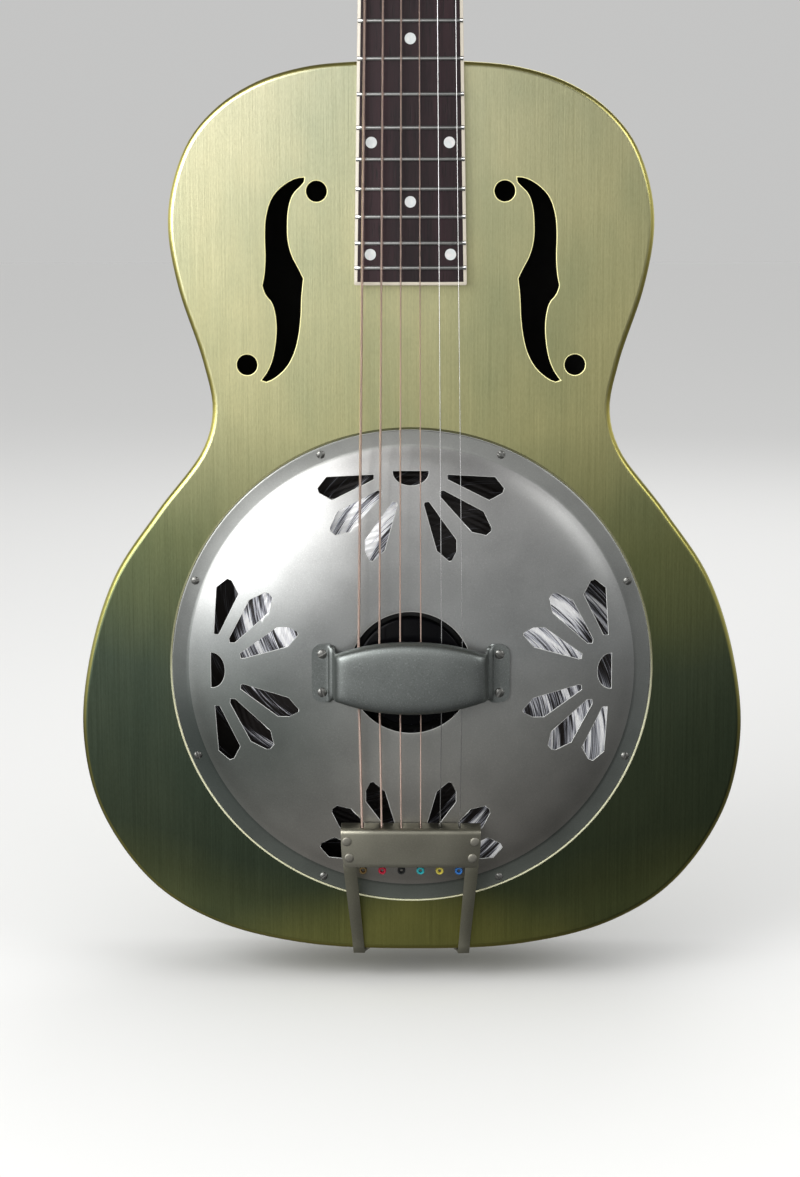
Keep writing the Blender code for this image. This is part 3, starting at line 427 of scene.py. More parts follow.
def nickel(name, colour=(0.50, 0.495, 0.475), rough=(0.26, 0.40), grain=900, edge=True, pit=0.25, speck=0.0, painted_grade=None, ring=None):
    """Dull antique nickel: fine satin grain, a little brighter on worn edges. The optional height ramps paint shade and
    a highlight over the plate by position.
    """
    m = Nodes(name)
    sp = m.noise(m.coords((grain, grain, grain)), 1.0, 3.0, 0.7)
    cl = m.noise(m.coords((30, 30, 30)), 1.0, 4.0)
    lo = tuple(c * 0.88 for c in colour)
    hi = tuple(min(c * 1.08, 1) for c in colour)
    grains = m.ramp(sp, [(0.3, (0.90, 0.90, 0.90)), (0.7, (1.0, 1.0, 1.0))])
    col = m.mix(1.0, m.ramp(cl, [(0.3, lo), (0.7, hi)]), grains, "MULTIPLY")
    if speck:
        dots = m.noise(m.coords((1500, 1500, 1500)), 1.0, 1.0, 0.5)
        dm = m.ramp(dots, [(0.60, (0, 0, 0)), (0.72, (1, 1, 1))])
        dk = m.ramp(dots, [(0.30, (1, 1, 1)), (0.40, (0, 0, 0))])
        col = m.mix(m.math("MULTIPLY", dm, speck), col, tuple(min(c * 2.1, 1) for c in colour))
        col = m.mix(m.math("MULTIPLY", dk, speck), col, tuple(c * 0.4 for c in colour))
    if edge:
        geo = m.n("ShaderNodeNewGeometry")
        wear = m.ramp(geo.outputs["Pointiness"], [(0.53, (0, 0, 0)), (0.62, (1, 1, 1))])
        col = m.mix(wear, col, tuple(min(c * 1.5, 1) for c in colour))
    if painted_grade:                      # painted shade: colour graded by height over the plate, darker towards one end
        tc = m.n("ShaderNodeTexCoord")
        pos = m.n("ShaderNodeSeparateXYZ")
        m.l(tc.outputs["Object"], pos.inputs[0])
        up = m.n("ShaderNodeMapRange")
        up.inputs["From Min"].default_value, up.inputs["From Max"].default_value = -0.128, 0.128
        m.l(pos.outputs["Z"], up.inputs["Value"])
        tone = m.ramp(up.outputs["Result"], painted_grade)
        # painted shade: the flat outer ring takes its own height ramp
        if ring:
            r2 = m.math("ADD", m.math("POWER", m.math("ABSOLUTE", pos.outputs["X"]), 2.0), m.math("POWER", m.math("ABSOLUTE", pos.outputs["Z"]), 2.0))
            tone = m.mix(m.math("GREATER_THAN", r2, 0.1187 ** 2), tone, m.ramp(up.outputs["Result"], ring))
        if ring:                   # painted shade: a darker, greener patch low on the left
            def away(cx, cz):
                dx, dz = m.math("SUBTRACT", pos.outputs["X"], cx), m.math("SUBTRACT", pos.outputs["Z"], cz)
                return m.math("MULTIPLY", m.math("SQRT", m.math("ADD", m.math("MULTIPLY", dx, dx), m.math("MULTIPLY", dz, dz))), 10.0)
            painted_shade_patch = m.ramp(away(-0.088, -0.036), [(0.08, (0.46, 0.50, 0.49)), (0.85, (1, 1, 1))], "EASE")
            tone = m.mix(1.0, tone, painted_shade_patch, "MULTIPLY")
            # painted highlight: the colour is raised up to 1.85 times high on the left
            painted_highlight_patch = m.ramp(away(-0.072, 0.066), [(0.05, (1, 1, 1)), (0.62, (0, 0, 0))], "EASE")
            tone = m.mix(1.0, tone, m.math("ADD", m.math("MULTIPLY", painted_highlight_patch, 0.85), 1.0), "MULTIPLY")
        col = m.mix(1.0, col, tone, "MULTIPLY")
    m.base(col)
    m.rough(m.math("ADD", m.math("MULTIPLY", sp, 0.5), m.math("MULTIPLY", cl, 0.5)), *rough)
    m.bump(sp, pit, 0.00008)
    m.set(Metallic=1.0)
    return m.mat


def spun(name):
    """Bright spun aluminium: long spiral polishing strokes, with painted reflection bright in some sectors and dark in
    others, painted shade to near black round the middle, and a glow on the bright strokes.
    """
    m = Nodes(name)
    tc = m.n("ShaderNodeTexCoord")
    sep = m.n("ShaderNodeSeparateXYZ")
    m.l(tc.outputs["Object"], sep.inputs[0])
    x, z = sep.outputs["X"], sep.outputs["Z"]
    r = m.math("SQRT", m.math("ADD", m.math("MULTIPLY", x, x), m.math("MULTIPLY", z, z)))
    a = m.math("ARCTAN2", z, x)

    def strokes(twist, across, along, detail, rough):
        sw = m.math("ADD", a, m.math("MULTIPLY", r, twist))
        cmb = m.n("ShaderNodeCombineXYZ")
        m.l(m.math("MULTIPLY", m.math("COSINE", sw), across), cmb.inputs[0])
        m.l(m.math("MULTIPLY", m.math("SINE", sw), across), cmb.inputs[1])
        m.l(m.math("MULTIPLY", r, along), cmb.inputs[2])
        return m.noise(cmb.outputs[0], 1.0, detail, rough)

    wide = strokes(15.0, 13.0, 9.0, 2.0, 0.5)
    fine = strokes(22.0, 60.0, 14.0, 4.0, 0.75)
    both = m.math("ADD", m.math("MULTIPLY", wide, 0.45), m.math("MULTIPLY", fine, 0.55))
    turn = m.n("ShaderNodeMapRange")
    turn.inputs["From Min"].default_value = -math.pi
    turn.inputs["From Max"].default_value = math.pi
    m.l(a, turn.inputs["Value"])
    # painted reflection: brightness round the cone, from -180 to 180 degrees, by its middle and outer zones
    zones = [m.ramp(turn.outputs["Result"], [((t + 180) / 360, (v, v, v)) for t, v in zone]) for zone in (CONE_MIDDLE_PAINTED_REFLECTION, CONE_OUTER_PAINTED_REFLECTION)]
    outer = m.n("ShaderNodeMapRange")
    outer.inputs["From Min"].default_value, outer.inputs["From Max"].default_value = 0.091, 0.097
    m.l(r, outer.inputs["Value"])
    sector = m.mix(outer.outputs["Result"], zones[0], zones[1])
    swing = m.math("ADD", m.math("MULTIPLY", m.math("SUBTRACT", both, 0.5), 1.7), 0.5)
    lum = m.math("ADD", swing, m.math("SUBTRACT", m.math("MULTIPLY", sector, 0.25), 0.16))
    col = m.ramp(lum, [(0.42, (0.018, 0.015, 0.014)), (0.50, (0.10, 0.10, 0.115)), (0.555, (0.50, 0.51, 0.57)), (0.64, (1.0, 1.0, 1.0))])
    # painted shade: near black inside about 33 mm radius, under the hand rest, blending into the strokes by 46 mm
    mid = m.n("ShaderNodeMapRange")
    mid.inputs["From Min"].default_value = 0.033
    mid.inputs["From Max"].default_value = 0.046
    m.l(r, mid.inputs["Value"])
    col = m.mix(mid.outputs["Result"], (0.008, 0.008, 0.008), col)
    m.base(col)
    # painted light: the cone glows with its own colour times the sector brightness, as an emission
    glow = m.mix(1.0, col, sector, "MULTIPLY")
    m.l(m.mix(mid.outputs["Result"], (0.0, 0.0, 0.0), glow), m.b.inputs["Emission Color"])
    m.b.inputs["Emission Strength"].default_value = 0.42
    m.rough(fine, 0.24, 0.44)
    m.bump(both, 0.35, 0.0005)
    m.set(Metallic=0.35)
    return m.mat


def paint(name, colour, rough=(0.28, 0.42), metallic=0.0, grain=260, coat=0.0, bump=0.05, vary=0.2):
    m = Nodes(name)
    nz = m.noise(m.coords((grain, grain, grain)), 1.0, 4.0)
    big = m.noise(m.coords((18, 18, 18)), 1.0, 3.0)
    lo = tuple(c * (1 - vary) for c in colour)
    hi = tuple(min(c * (1 + vary), 1) for c in colour)
    m.base(m.ramp(big, [(0.3, lo), (0.7, hi)]))
    m.rough(nz, *rough)
    m.bump(nz, bump, 0.0001)
    m.set(Metallic=metallic)
    m.b.inputs["Coat Weight"].default_value = coat
    return m.mat


def wood(name, dark, light, along=(60, 60, 4), pore=True, rough=(0.32, 0.5), coat=0.0, streaks=1.0):
    """Grain along the neck: long streaks, growth bands and open pores."""
    m = Nodes(name)
    band = m.noise(m.coords(along), 1.0, 5.0, 0.6, 0.4)
    fibre = m.noise(m.coords(tuple(a * 14 for a in along)), 1.0, 3.0, 0.6)
    mixd = m.math("ADD", m.math("MULTIPLY", band, 0.65), m.math("MULTIPLY", fibre, 0.35))
    mid = tuple((a + b) / 2 for a, b in zip(dark, light))
    col = m.ramp(mixd, [(0.34, dark), (0.5, mid), (0.66, light)])
    if pore:
        p = m.noise(m.coords((1500, 1500, 55)), 1.0, 1.0)
        pm = m.ramp(p, [(0.60, (0, 0, 0)), (0.68, (1, 1, 1))])
        col = m.mix(m.math("MULTIPLY", pm, 0.6), col, tuple(c * 0.3 for c in dark))
        m.bump(m.math("SUBTRACT", fibre, m.math("MULTIPLY", pm, 0.8)), 0.25, 0.00018)
    m.base(col)
    m.rough(fibre, *rough)
    m.b.inputs["Coat Weight"].default_value = coat
    m.b.inputs["Coat Roughness"].default_value = 0.18
    return m.mat


def pearl(name):
    m = Nodes(name)
    v = m.n("ShaderNodeTexVoronoi")
    v.inputs["Scale"].default_value = 420
    m.l(m.coords((1, 1, 0.6)), v.inputs["Vector"])
    m.base(m.ramp(v.outputs["Distance"], [(0.0, (0.60, 0.61, 0.59)), (0.5, (0.50, 0.53, 0.53)), (1.0, (0.56, 0.53, 0.53))]))
    m.rough(v.outputs["Distance"], 0.15, 0.3)
    m.b.inputs["Coat Weight"].default_value = 0.5
    return m.mat


def wound(name, colour, pitch):
    """Wrap wire: fine ridges along the string."""
    m = Nodes(name)
    w = m.n("ShaderNodeTexWave", wave_type="BANDS", bands_direction="Z")
    w.inputs["Scale"].default_value = 1.0 / pitch / 20
    w.inputs["Distortion"].default_value = 0.0
    m.l(m.coords((20, 20, 20)), w.inputs["Vector"])
    big = m.noise(m.coords((30, 30, 30)), 1.0, 3.0)
    c1 = m.ramp(w.outputs["Fac"], [(0.2, tuple(c * 0.55 for c in colour)), (0.8, tuple(min(c * 1.15, 1) for c in colour))])
    m.base(m.mix(0.25, c1, m.ramp(big, [(0.3, tuple(c * 0.7 for c in colour)), (0.7, colour)])))
    m.rough(big, 0.26, 0.42)
    m.bump(w.outputs["Fac"], 0.6, 0.0001)
    m.set(Metallic=1.0)
    return m.mat


# painted reflection: body colour by height, from dark green low down to bright olive-gold high up
BODY_PAINTED_REFLECTION_TONES = [(0.0, (0.22, 0.255, 0.10)), (0.035, (0.155, 0.185, 0.080)), (0.075, (0.112, 0.145, 0.078)), (0.16, (0.120, 0.158, 0.092)), (0.26, (0.155, 0.20, 0.120)),
              (0.33, (0.255, 0.295, 0.135)), (0.42, (0.35, 0.385, 0.165)), (0.58, (0.79, 0.77, 0.38)), (0.75, (0.82, 0.80, 0.435)), (1.0, (0.84, 0.82, 0.51))]
# painted reflection: the cone's brightness round its middle and outer zones, degrees to brightness
CONE_MIDDLE_PAINTED_REFLECTION = [(-180, 0.85), (-169, 0.45), (-158, 0.3), (-140, 0.1), (-112, 0.0), (-78, 0.05), (-67, 0.32), (-45, 0.5), (-22, 0.6), (-14, 0.8), (0, 0.8),
               (9, 1.0), (20, 1.0), (34, 0.5), (50, 0.0), (88, 0.05), (97, 0.65), (110, 0.88), (128, 0.6), (145, 0.5), (162, 1.0), (172, 0.95), (180, 0.85)]
CONE_OUTER_PAINTED_REFLECTION = [(-180, 0.3), (-160, 0.08), (-114, 0.0), (-88, 0.0), (-72, 0.7), (-64, 1.0), (-40, 0.7), (-26, 0.95), (-18, 1.0), (-8, 0.8), (0, 0.55),
              (17, 0.35), (40, 0.1), (70, 0.0), (92, 0.05), (106, 0.28), (118, 0.3), (140, 0.2), (163, 0.28), (180, 0.3)]
BODY = body_metal("brushed_olive_plate")
# painted highlight and shade: the seat lip is bright gold low down and painted dark towards the top
LIP = nickel("lip_painted_light", (1.0, 0.96, 0.66), (0.30, 0.40), 1300, False, 0.1, 0.0, [(0.0, (1, 1, 1)), (0.38, (1, 1, 1)), (0.55, (0.30, 0.30, 0.26)), (1.0, (0.10, 0.10, 0.07))])
# painted highlight: a bright, mostly matt gold for the bevels round the f-holes and screw holes, so they show a light
# line all round
EDGE = paint("edge_painted_highlight", (0.92, 0.87, 0.43), (0.35, 0.5), metallic=0.1, vary=0.05)
# painted highlight: a pale, mostly matt grey for the bevels round the cover's cut-outs
CUT = paint("cut_edge_painted_highlight", (0.66, 0.67, 0.65), (0.32, 0.46), metallic=0.2, vary=0.1)
LIP.node_tree.nodes["Principled BSDF"].inputs["Metallic"].default_value = 0.35
INSIDE = paint("dark_inside", (0.012, 0.011, 0.009), (0.6, 0.8), vary=0.3)
NICKEL = nickel("antique_nickel", (0.50, 0.505, 0.49), (0.36, 0.46), 1300, True, 0.2)
# painted shade and highlight for the cover: a height ramp darker at the top, a darker greener outer ring low down, a
# darker patch low on the left and a highlight high on the left
COVERM = nickel("antique_nickel_cover", (0.50, 0.505, 0.50), (0.36, 0.46), 1300, True, 0.2, 0.10,
                [(0.0, (1.06, 0.99, 0.90)), (0.35, (0.92, 0.915, 0.87)), (0.55, (0.87, 0.885, 0.88)), (1.0, (0.86, 0.84, 0.83))],
                [(0.0, (0.42, 0.455, 0.405)), (0.35, (0.42, 0.455, 0.43)), (0.6, (0.66, 0.675, 0.66)), (1.0, (0.80, 0.80, 0.77))])
NICKEL2 = nickel("antique_nickel_pitted", (0.262, 0.282, 0.272), (0.36, 0.48), 1100, True, 0.55, 0.26)
NICKEL3 = nickel("antique_nickel_warm", (0.315, 0.304, 0.245), (0.36, 0.48), 1100, True, 0.3, 0.10)
# painted light: a lighter copy of the warm tailpiece nickel for the sloped legs
LEGM = nickel("antique_nickel_strap_painted_lighter", (0.355, 0.345, 0.265), (0.42, 0.52), 1100, True, 0.3, 0.10)
RIVETM = nickel("antique_nickel_rivet", (0.31, 0.298, 0.255), (0.46, 0.58), 1100, True, 0.3, 0.10)
SCREW = nickel("screw_nickel", (0.27, 0.27, 0.255), (0.30, 0.42), 1500)
STEEL = nickel("machined_steel", (0.58, 0.58, 0.57), (0.22, 0.36), 1300)
FRETWIRE = nickel("fret_nickel", (0.72, 0.72, 0.70), (0.15, 0.26), 1300, False, 0.05)
PLAIN = nickel("plain_steel_wire", (0.70, 0.70, 0.70), (0.14, 0.24), 900, False, 0.02)
BRONZE = wound("bronze_wrap", (0.96, 0.69, 0.59), 0.00045)
ALU = spun("spun_aluminium")
BLACKP = paint("black_paint", (0.008, 0.008, 0.009), (0.3, 0.5), vary=0.3)
BISCUITM = paint("biscuit_black", (0.002, 0.002, 0.0025), (0.12, 0.2), vary=0.3, bump=0.02)
BISCUITM.node_tree.nodes["Principled BSDF"].inputs["Specular IOR Level"].default_value = 0.07
LACQ = paint("black_lacquer", (0.007, 0.007, 0.008), (0.34, 0.42), coat=0.0, vary=0.3, bump=0.02)
MAPLE = wood("maple_saddle", (0.50, 0.33, 0.17), (0.66, 0.47, 0.27))
MAHOG = wood("stained_mahogany", (0.050, 0.016, 0.009), (0.17, 0.055, 0.026), (55, 55, 4), True, (0.22, 0.34), 0.5)
ROSE = wood("dark_rosewood", (0.006, 0.0030, 0.0040), (0.026, 0.0095, 0.0125), (90, 90, 5), True, (0.42, 0.58))
ROSE.node_tree.nodes["Principled BSDF"].inputs["Specular IOR Level"].default_value = 0.3
PINE = wood("pale_wood", (0.42, 0.30, 0.17), (0.62, 0.48, 0.30), (45, 45, 4), True, (0.5, 0.7))
CREAM = paint("cream_binding", (0.50, 0.455, 0.375), (0.24, 0.36), grain=200, coat=0.2, vary=0.06)
BONEM = paint("bone_nut", (0.80, 0.75, 0.62), (0.24, 0.36), grain=400, vary=0.08)
BUTTON = paint("ivory_button", (0.80, 0.73, 0.56), (0.16, 0.26), grain=120, coat=0.4, vary=0.08)
PEARL = pearl("pearl_dot")
BALLS = [paint(f"ball_{n}", c, (0.25, 0.35), met, 500, 0.2, 0.03, 0.1) for n, c, met in (
    ("brass", (0.45, 0.31, 0.14), 1.0), ("red", (0.36, 0.008, 0.030), 0.0), ("black", (0.012, 0.012, 0.012), 0.0),
    ("teal", (0.02, 0.33, 0.37), 0.0), ("yellow", (0.50, 0.42, 0.06), 0.0), ("blue", (0.025, 0.14, 0.42), 0.0))]

# ---- helpers ---------------------------------------------------------------------------
def obj(name, bm):
    """A scratch object in local metres."""
    bmesh.ops.scale(bm, vec=(MM, MM, MM), verts=bm.verts)
    me = bpy.data.meshes.new(name)
    bm.to_mesh(me)
    bm.free()
    ob = bpy.data.objects.new(name, me)
    scene.collection.objects.link(ob)
    return ob


def evaluated(ob):
    dg = bpy.context.evaluated_depsgraph_get()
    dg.update()
    me = bpy.data.meshes.new_from_object(ob.evaluated_get(dg))
    bm = bmesh.new()
    bm.from_mesh(me)
    bmesh.ops.remove_doubles(bm, verts=bm.verts, dist=1e-7)
    bm.to_mesh(me)
    bm.free()
    return me


def cut(ob, other, op="DIFFERENCE", keep=False, inner=False):
    if inner:                      # the cutter's faces become the dark inside
        for me_ in (ob.data, other.data):
            me_.materials.clear()
            me_.materials.append(BODY)
            me_.materials.append(INSIDE)
        other.data.polygons.foreach_set("material_index", [1] * len(other.data.polygons))
    m = ob.modifiers.new("bool", "BOOLEAN")
    m.operation, m.solver, m.object = op, "EXACT", other
    me = evaluated(ob)
    ob.modifiers.clear()
    ob.data = me
    if not keep:
        bpy.data.objects.remove(other, do_unlink=True)
    return ob


def edge_bevel(ob, width, segments=2, angle=40, slot_no=-1, clamp=True):
    m = ob.modifiers.new("edge", "BEVEL")
    m.material = slot_no
    m.width = width * MM
    m.segments = segments
    m.limit_method = "ANGLE"
    m.angle_limit = math.radians(angle)
    m.use_clamp_overlap = clamp
    m.harden_normals = False
    return ob


def weld(ob, reach=0.002):
    m = ob.modifiers.new("weld", "WELD")
    m.merge_threshold = reach * MM
    return ob


def piece(name, ob, mat, nodes=(), body=ROOT, frame_m=FRONT, sharp=32, loc=None, rot=None, flats=False):
    """Applies the modifiers, puts the mesh in the row frame and hands it to the frame."""
    me = evaluated(ob)
    bpy.data.objects.remove(ob, do_unlink=True)
    return put(name, me, mat, nodes, body, frame_m, sharp, loc, rot, flats)


def put(name, me, mat, nodes=(), body=ROOT, frame_m=FRONT, sharp=32, loc=None, rot=None, flats=False):
    me = me.copy()
    me.name = name
    kinds = [0] * len(me.polygons)
    me.polygons.foreach_get("material_index", kinds)
    local = Matrix.Identity(4)
    if loc is not None:
        local = Matrix.Translation(Vector(loc) * MM) @ Euler(rot or (0, 0, 0)).to_matrix().to_4x4()
    me.transform(frame_m @ local)
    me.materials.clear()
    for m_ in (mat if isinstance(mat, (list, tuple)) else [mat]):
        me.materials.append(m_)
    if len(me.materials) > 1:
        me.polygons.foreach_set("material_index", kinds)
    me.shade_smooth()
    me.set_sharp_from_angle(angle=math.radians(sharp))
    if flats:                      # large flat sheets keep a true flat normal
        axis = (frame_m @ local).to_3x3() @ Vector((0, 0, 1))
        for p_ in me.polygons:
            if abs(p_.normal.dot(axis)) > 0.99999:
                p_.use_smooth = False
    o = bpy.data.objects.new(name, me)
    scene.collection.objects.link(o)
    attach(o, body)
    if nodes:
        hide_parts(*nodes)
    return o


def lathe(name, profile, steps, closed=False):
    bm = bmesh.new()
    vs = [bm.verts.new((r, 0, z)) for r, z in profile]
    for a, b in zip(vs, vs[1:] + ([vs[0]] if closed else [])):
        if a is not b:
            bm.edges.new((a, b))
    ob = obj(name, bm)
    s = ob.modifiers.new("turn", "SCREW")
    s.axis = "Z"
    s.angle = math.tau
    s.steps = s.render_steps = steps
    s.use_merge_vertices = True
    s.merge_threshold = 0.000005
    return ob


def smooth_line(points, count):
    """Open Catmull-Rom through (x, y) points, evenly spaced."""
    a, b = Vector(points[0]), Vector(points[1])
    c, d = Vector(points[-1]), Vector(points[-2])
    return spline(points, count, (tuple(a * 2 - b), tuple(c * 2 - d)))


# ---- body ------------------------------------------------------------------------------
def body_outline(steps):
    half = spline(OUTLINE, steps, ((-OUTLINE[1][0], OUTLINE[1][1]), (-OUTLINE[-2][0], OUTLINE[-2][1])))
    half[0] = (0.0, OUTLINE[0][1])
    half[-1] = (0.0, OUTLINE[-1][1])
    return half + [(-x, y) for x, y in reversed(half[1:-1])]


outline = body_outline(150)
SEAM = 0.04
pan = obj("pan", rounded(prism(outline, -SKIRT - SEAM, 0), 0, RIM_RADIUS, 7))
cut(pan, obj("in", rounded(prism(inset(outline, SHEET), -SKIRT - 3, -SHEET), -SHEET, RIM_RADIUS - SHEET, 4)), inner=True)
back = obj("backpan", rounded(prism(outline, -BODY_DEPTH, -BODY_DEPTH + SKIRT - SEAM), -BODY_DEPTH, RIM_RADIUS, 7))
cut(back, obj("in", rounded(prism(inset(outline, SHEET), -BODY_DEPTH + SHEET, -BODY_DEPTH + SKIRT + 2),
                            -BODY_DEPTH + SHEET, RIM_RADIUS - SHEET, 4)), inner=True)
holes = cylinder(WELL_RADIUS, -6, 6, 160)
half_a = smooth_line(F_BLADE[:10] + F_BLADE[9:10][:0], 26)
tips = (0, 16, 24)          # sharp corners of the blade: upper tip, lower tip, inner notch
blade = []
for i0, i1 in ((0, 8), (8, 16), (16, 24), (24, len(F_BLADE))):
    seg = F_BLADE[i0:i1 + 1] if i1 < len(F_BLADE) else F_BLADE[i0:] + [F_BLADE[0]]
    blade += smooth_line(seg, 24)[:-1]
for side in (1, -1):
    prism([(x * side, y) for x, y in blade], -6, 6, holes)
    for x, y, r in F_EYES:
        cylinder(r, -6, 6, 40, (x * side, y), holes)
for k in range(8):
    a = math.radians(22.5 + 45 * k)
    cylinder(1.6, -6, 6, 12, (COVER_SCREW_CIRCLE * math.cos(a), COVER_SCREW_CIRCLE * math.sin(a)), holes)
cut(pan, obj("holes", holes))
# the hole bevels take the painted highlight gold
pan.data.materials.append(EDGE)
piece("body_top_plate", edge_bevel(pan, 0.42, 2, 50, 2, False), [BODY, INSIDE, EDGE], ("body_top",), flats=True)
lip = [(127.7, 0.02), (127.7, 0.75), (127.8, 1.15), (127.95, 1.3), (128.2, 1.2), (128.4, 0.8), (128.55, 0.3), (128.8, 0.02)]
piece("cover_seat_lip", lathe("lip", lip, 200, True), LIP, sharp=60)
piece("body_back_plate", back, [BODY, INSIDE], ("body_back",), flats=True)
side = obj("side", prism(outline, -BODY_DEPTH + SKIRT + SEAM, -SKIRT - SEAM))
cut(side, obj("in", prism(inset(outline, SHEET), -BODY_DEPTH, 0)), inner=True)
STICK = (21.0, -36.0, -66.0)
sh = box(-STICK[0] - 0.5, STICK[0] + 0.5, 305, 325, STICK[2] - 0.5, STICK[1] + 0.5)
cylinder(2.1, -165, -145, 16, (0, -BODY_DEPTH / 2), sh, "Y")
cut(side, obj("sh", sh))
piece("body_side_band", side, [BODY, INSIDE], ("body_sides",))

# ---- cone and bridge -------------------------------------------------------------------
rim = LEDGE_H + GAP
cone_top, cone_bot = [(2.0, 2.3), (27.5, 2.3)], [(2.0, 1.7), (27.2, 1.7)]
for k in range(79):
    t = k / 78
    r = 29.5 + 75.0 * t
    h = 1.7 + (rim + 1.2 - 1.7) * t + 0.28 * math.sin(r * 2.1)
    cone_top.append((r, h + 0.25))
    cone_bot.append((r, h - 0.25))
cone_top += [(107.5, rim + 0.45), (CONE_RADIUS, rim + 0.5)]
cone_bot += [(107.5, rim), (CONE_RADIUS, rim)]
piece("spun_cone", lathe("cone", cone_top + list(reversed(cone_bot)), 120, True), ALU, ("resonator_cone",),
      sharp=60)
bis = lathe("biscuit", [(0, BISCUIT_TOP), (BISCUIT_RADIUS - 1.2, BISCUIT_TOP), (BISCUIT_RADIUS - 0.35, BISCUIT_TOP - 0.35),
                        (BISCUIT_RADIUS, BISCUIT_TOP - 1.2), (BISCUIT_RADIUS, 2.9), (BISCUIT_RADIUS - 0.3, 2.6), (0, 2.6)], 96)
cut(bis, obj("slot", box(-40, 40, -1.5, 1.5, 7.0, 20)))
piece("biscuit_disc", edge_bevel(bis, 0.35, 3), BISCUITM, ("biscuit",))


def crown_drop(x):
    return CROWN - math.sqrt(CROWN * CROWN - x * x)


def string_x(i, y):
    pitch = PITCH_SADDLE + (PITCH_NUT - PITCH_SADDLE) * y / SCALE
    return (i - 2.5) * pitch


top_line = [(-30, 21.5), (-29.2, 22.8)] + [(x, SADDLE_H - crown_drop(x) - 0.35) for x in range(-27, 28, 3)] \
    + [(29.2, 22.8), (30, 21.5)]
sad = prism([(-24, 7.3), (-26, 11.3), (-30, 11.3)] + top_line + [(30, 11.3), (26, 11.3), (24, 7.3)], -1.4, 1.4)
bmesh.ops.rotate(sad, matrix=Matrix.Rotation(math.pi / 2, 3, "X"), verts=sad.verts)
sad = obj("saddle", sad)
sc = bmesh.new()
for i in range(6):
    x, r = string_x(i, 0), STRING_RADIUS[i]
    cylinder(r + 0.06, -4, 4, 12, (x, SADDLE_H - crown_drop(x)), sc, "Y")
cut(sad, obj("sc", sc))
piece("saddle_blade", edge_bevel(sad, 0.25), MAPLE, ("saddle",))

# ---- cover plate -----------------------------------------------------------------------
dome = smooth_line(COVER_PROFILE[:5], 44)
prof = [(32.5, 12.6), (32.7, 13.1)] + dome[1:-1] + [(118.2, 2.05), (119.2, 1.62), (120.4, 1.5), (127.0, 1.5), (127.6, 1.1)]
und = [(r - 0.15 if r < 120 else r, h - COVER_SHEET) for r, h in prof[2:-1]]
cover = lathe("cover", prof + [(127.6, 0.6)] + list(reversed(und)), 200, True)
cover.data = evaluated(cover)
cover.modifiers.clear()
cc = bmesh.new()


def fan_point(q, across, inward):
    v = Matrix.Rotation(math.radians(90 * q), 2) @ Vector((CLUSTER_FOCUS - inward, across))
    return (v.x, v.y)


FAN_DISC = (9.45, 7.5)
FAN_PETALS = [
    [(19.4, 1.5), (19.4, 4.0), (41.2, 14.8), (48.1, 11.2), (49.0, 8.9), (44.3, 3.0)],
    [(17.4, 9.7), (15.2, 10.0), (15.3, 12.6), (32.0, 31.2), (39.6, 33.0), (42.0, 31.0), (42.3, 29.2), (38.2, 20.7)],
    [(9.6, 15.5), (7.2, 15.8), (7.0, 17.2), (13.8, 41.1), (20.1, 46.5), (21.6, 46.2), (24.0, 41.4), (24.0, 35.4)]]
for q in range(4):
    arc = [(FAN_DISC[0] * math.cos(math.radians(t)), -0.4 + FAN_DISC[1] * math.sin(math.radians(t)) ** 0.9) for t in range(0, 181, 6)]
    prism([fan_point(q, a, b) for a, b in arc], -4, 20, cc)
    for petal in FAN_PETALS:
        for sgn in (1, -1):
            prism([fan_point(q, a * sgn, b) for a, b in petal], -4, 20, cc)
for k in range(8):
    a = math.radians(22.5 + 45 * k)
    cylinder(1.5, -4, 20, 16, (COVER_SCREW_CIRCLE * math.cos(a), COVER_SCREW_CIRCLE * math.sin(a)), cc)
cut(cover, obj("cc", cc))
cover.data.materials.append(COVERM)
# the cut-out bevels take the painted highlight grey
cover.data.materials.append(CUT)
piece("fan_cover_plate", edge_bevel(weld(cover, 0.12), 0.20, 1, 55, 1, False), [COVERM, CUT], ("cover_plate",), sharp=28)

# ---- hand rest -------------------------------------------------------------------------
H0 = REST_FOOT_H
REST = [(52.3, H0, 9.0, 0), (52.2, H0, 11.0, 0), (51.7, H0, 12.9, 0), (50.6, H0, 14.4, 0), (49.0, H0, 15.3, 0), (47.0, H0, 15.6, 0), (43.6, H0, 15.6, 0),
        (43.1, H0 + 0.35, 15.0, 0.08), (42.6, H0 + 1.1, 14.2, 0.25), (41.9, H0 + 1.8, 13.8, 0.36), (41.2, H0 + 1.95, 13.7, 0.38), (40.6, H0 + 1.6, 13.5, 0.3),
        (40.25, H0 + 1.25, 13.2, 0.15), (39.95, H0 + 2.4, 12.9, 0.05), (39.6, H0 + 6, 12.6, 0), (39.2, H0 + 11, 12.1, 0.05),
        (38.7, H0 + 14.4, 11.9, 0.2), (38.0, H0 + 16.2, 12.0, 0.45), (36.8, H0 + 17.4, 12.3, 0.75), (35.0, H0 + 18.0, 12.9, 0.95), (32.5, H0 + 18.3, 13.8, 1),
        (26, H0 + 18.7, 15.6, 1), (18, H0 + 19.05, 17.2, 1), (9, H0 + 19.25, 18.1, 1), (0, H0 + 19.3, 18.4, 1)]
ACROSS = [(-1, 4.9), (-0.993, 3.4), (-0.96, 1.7), (-0.90, 0.75), (-0.80, 0.28), (-0.6, 0.1), (-0.3, 0.0), (0, 0), (0.3, 0.0), (0.6, 0.1), (0.80, 0.28),
          (0.90, 0.75), (0.96, 1.7), (0.993, 3.4), (1, 4.9)]
stations = [(-x, h, w, r) for x, h, w, r in REST] + [(x, h, w, r) for x, h, w, r in reversed(REST[:-1])]
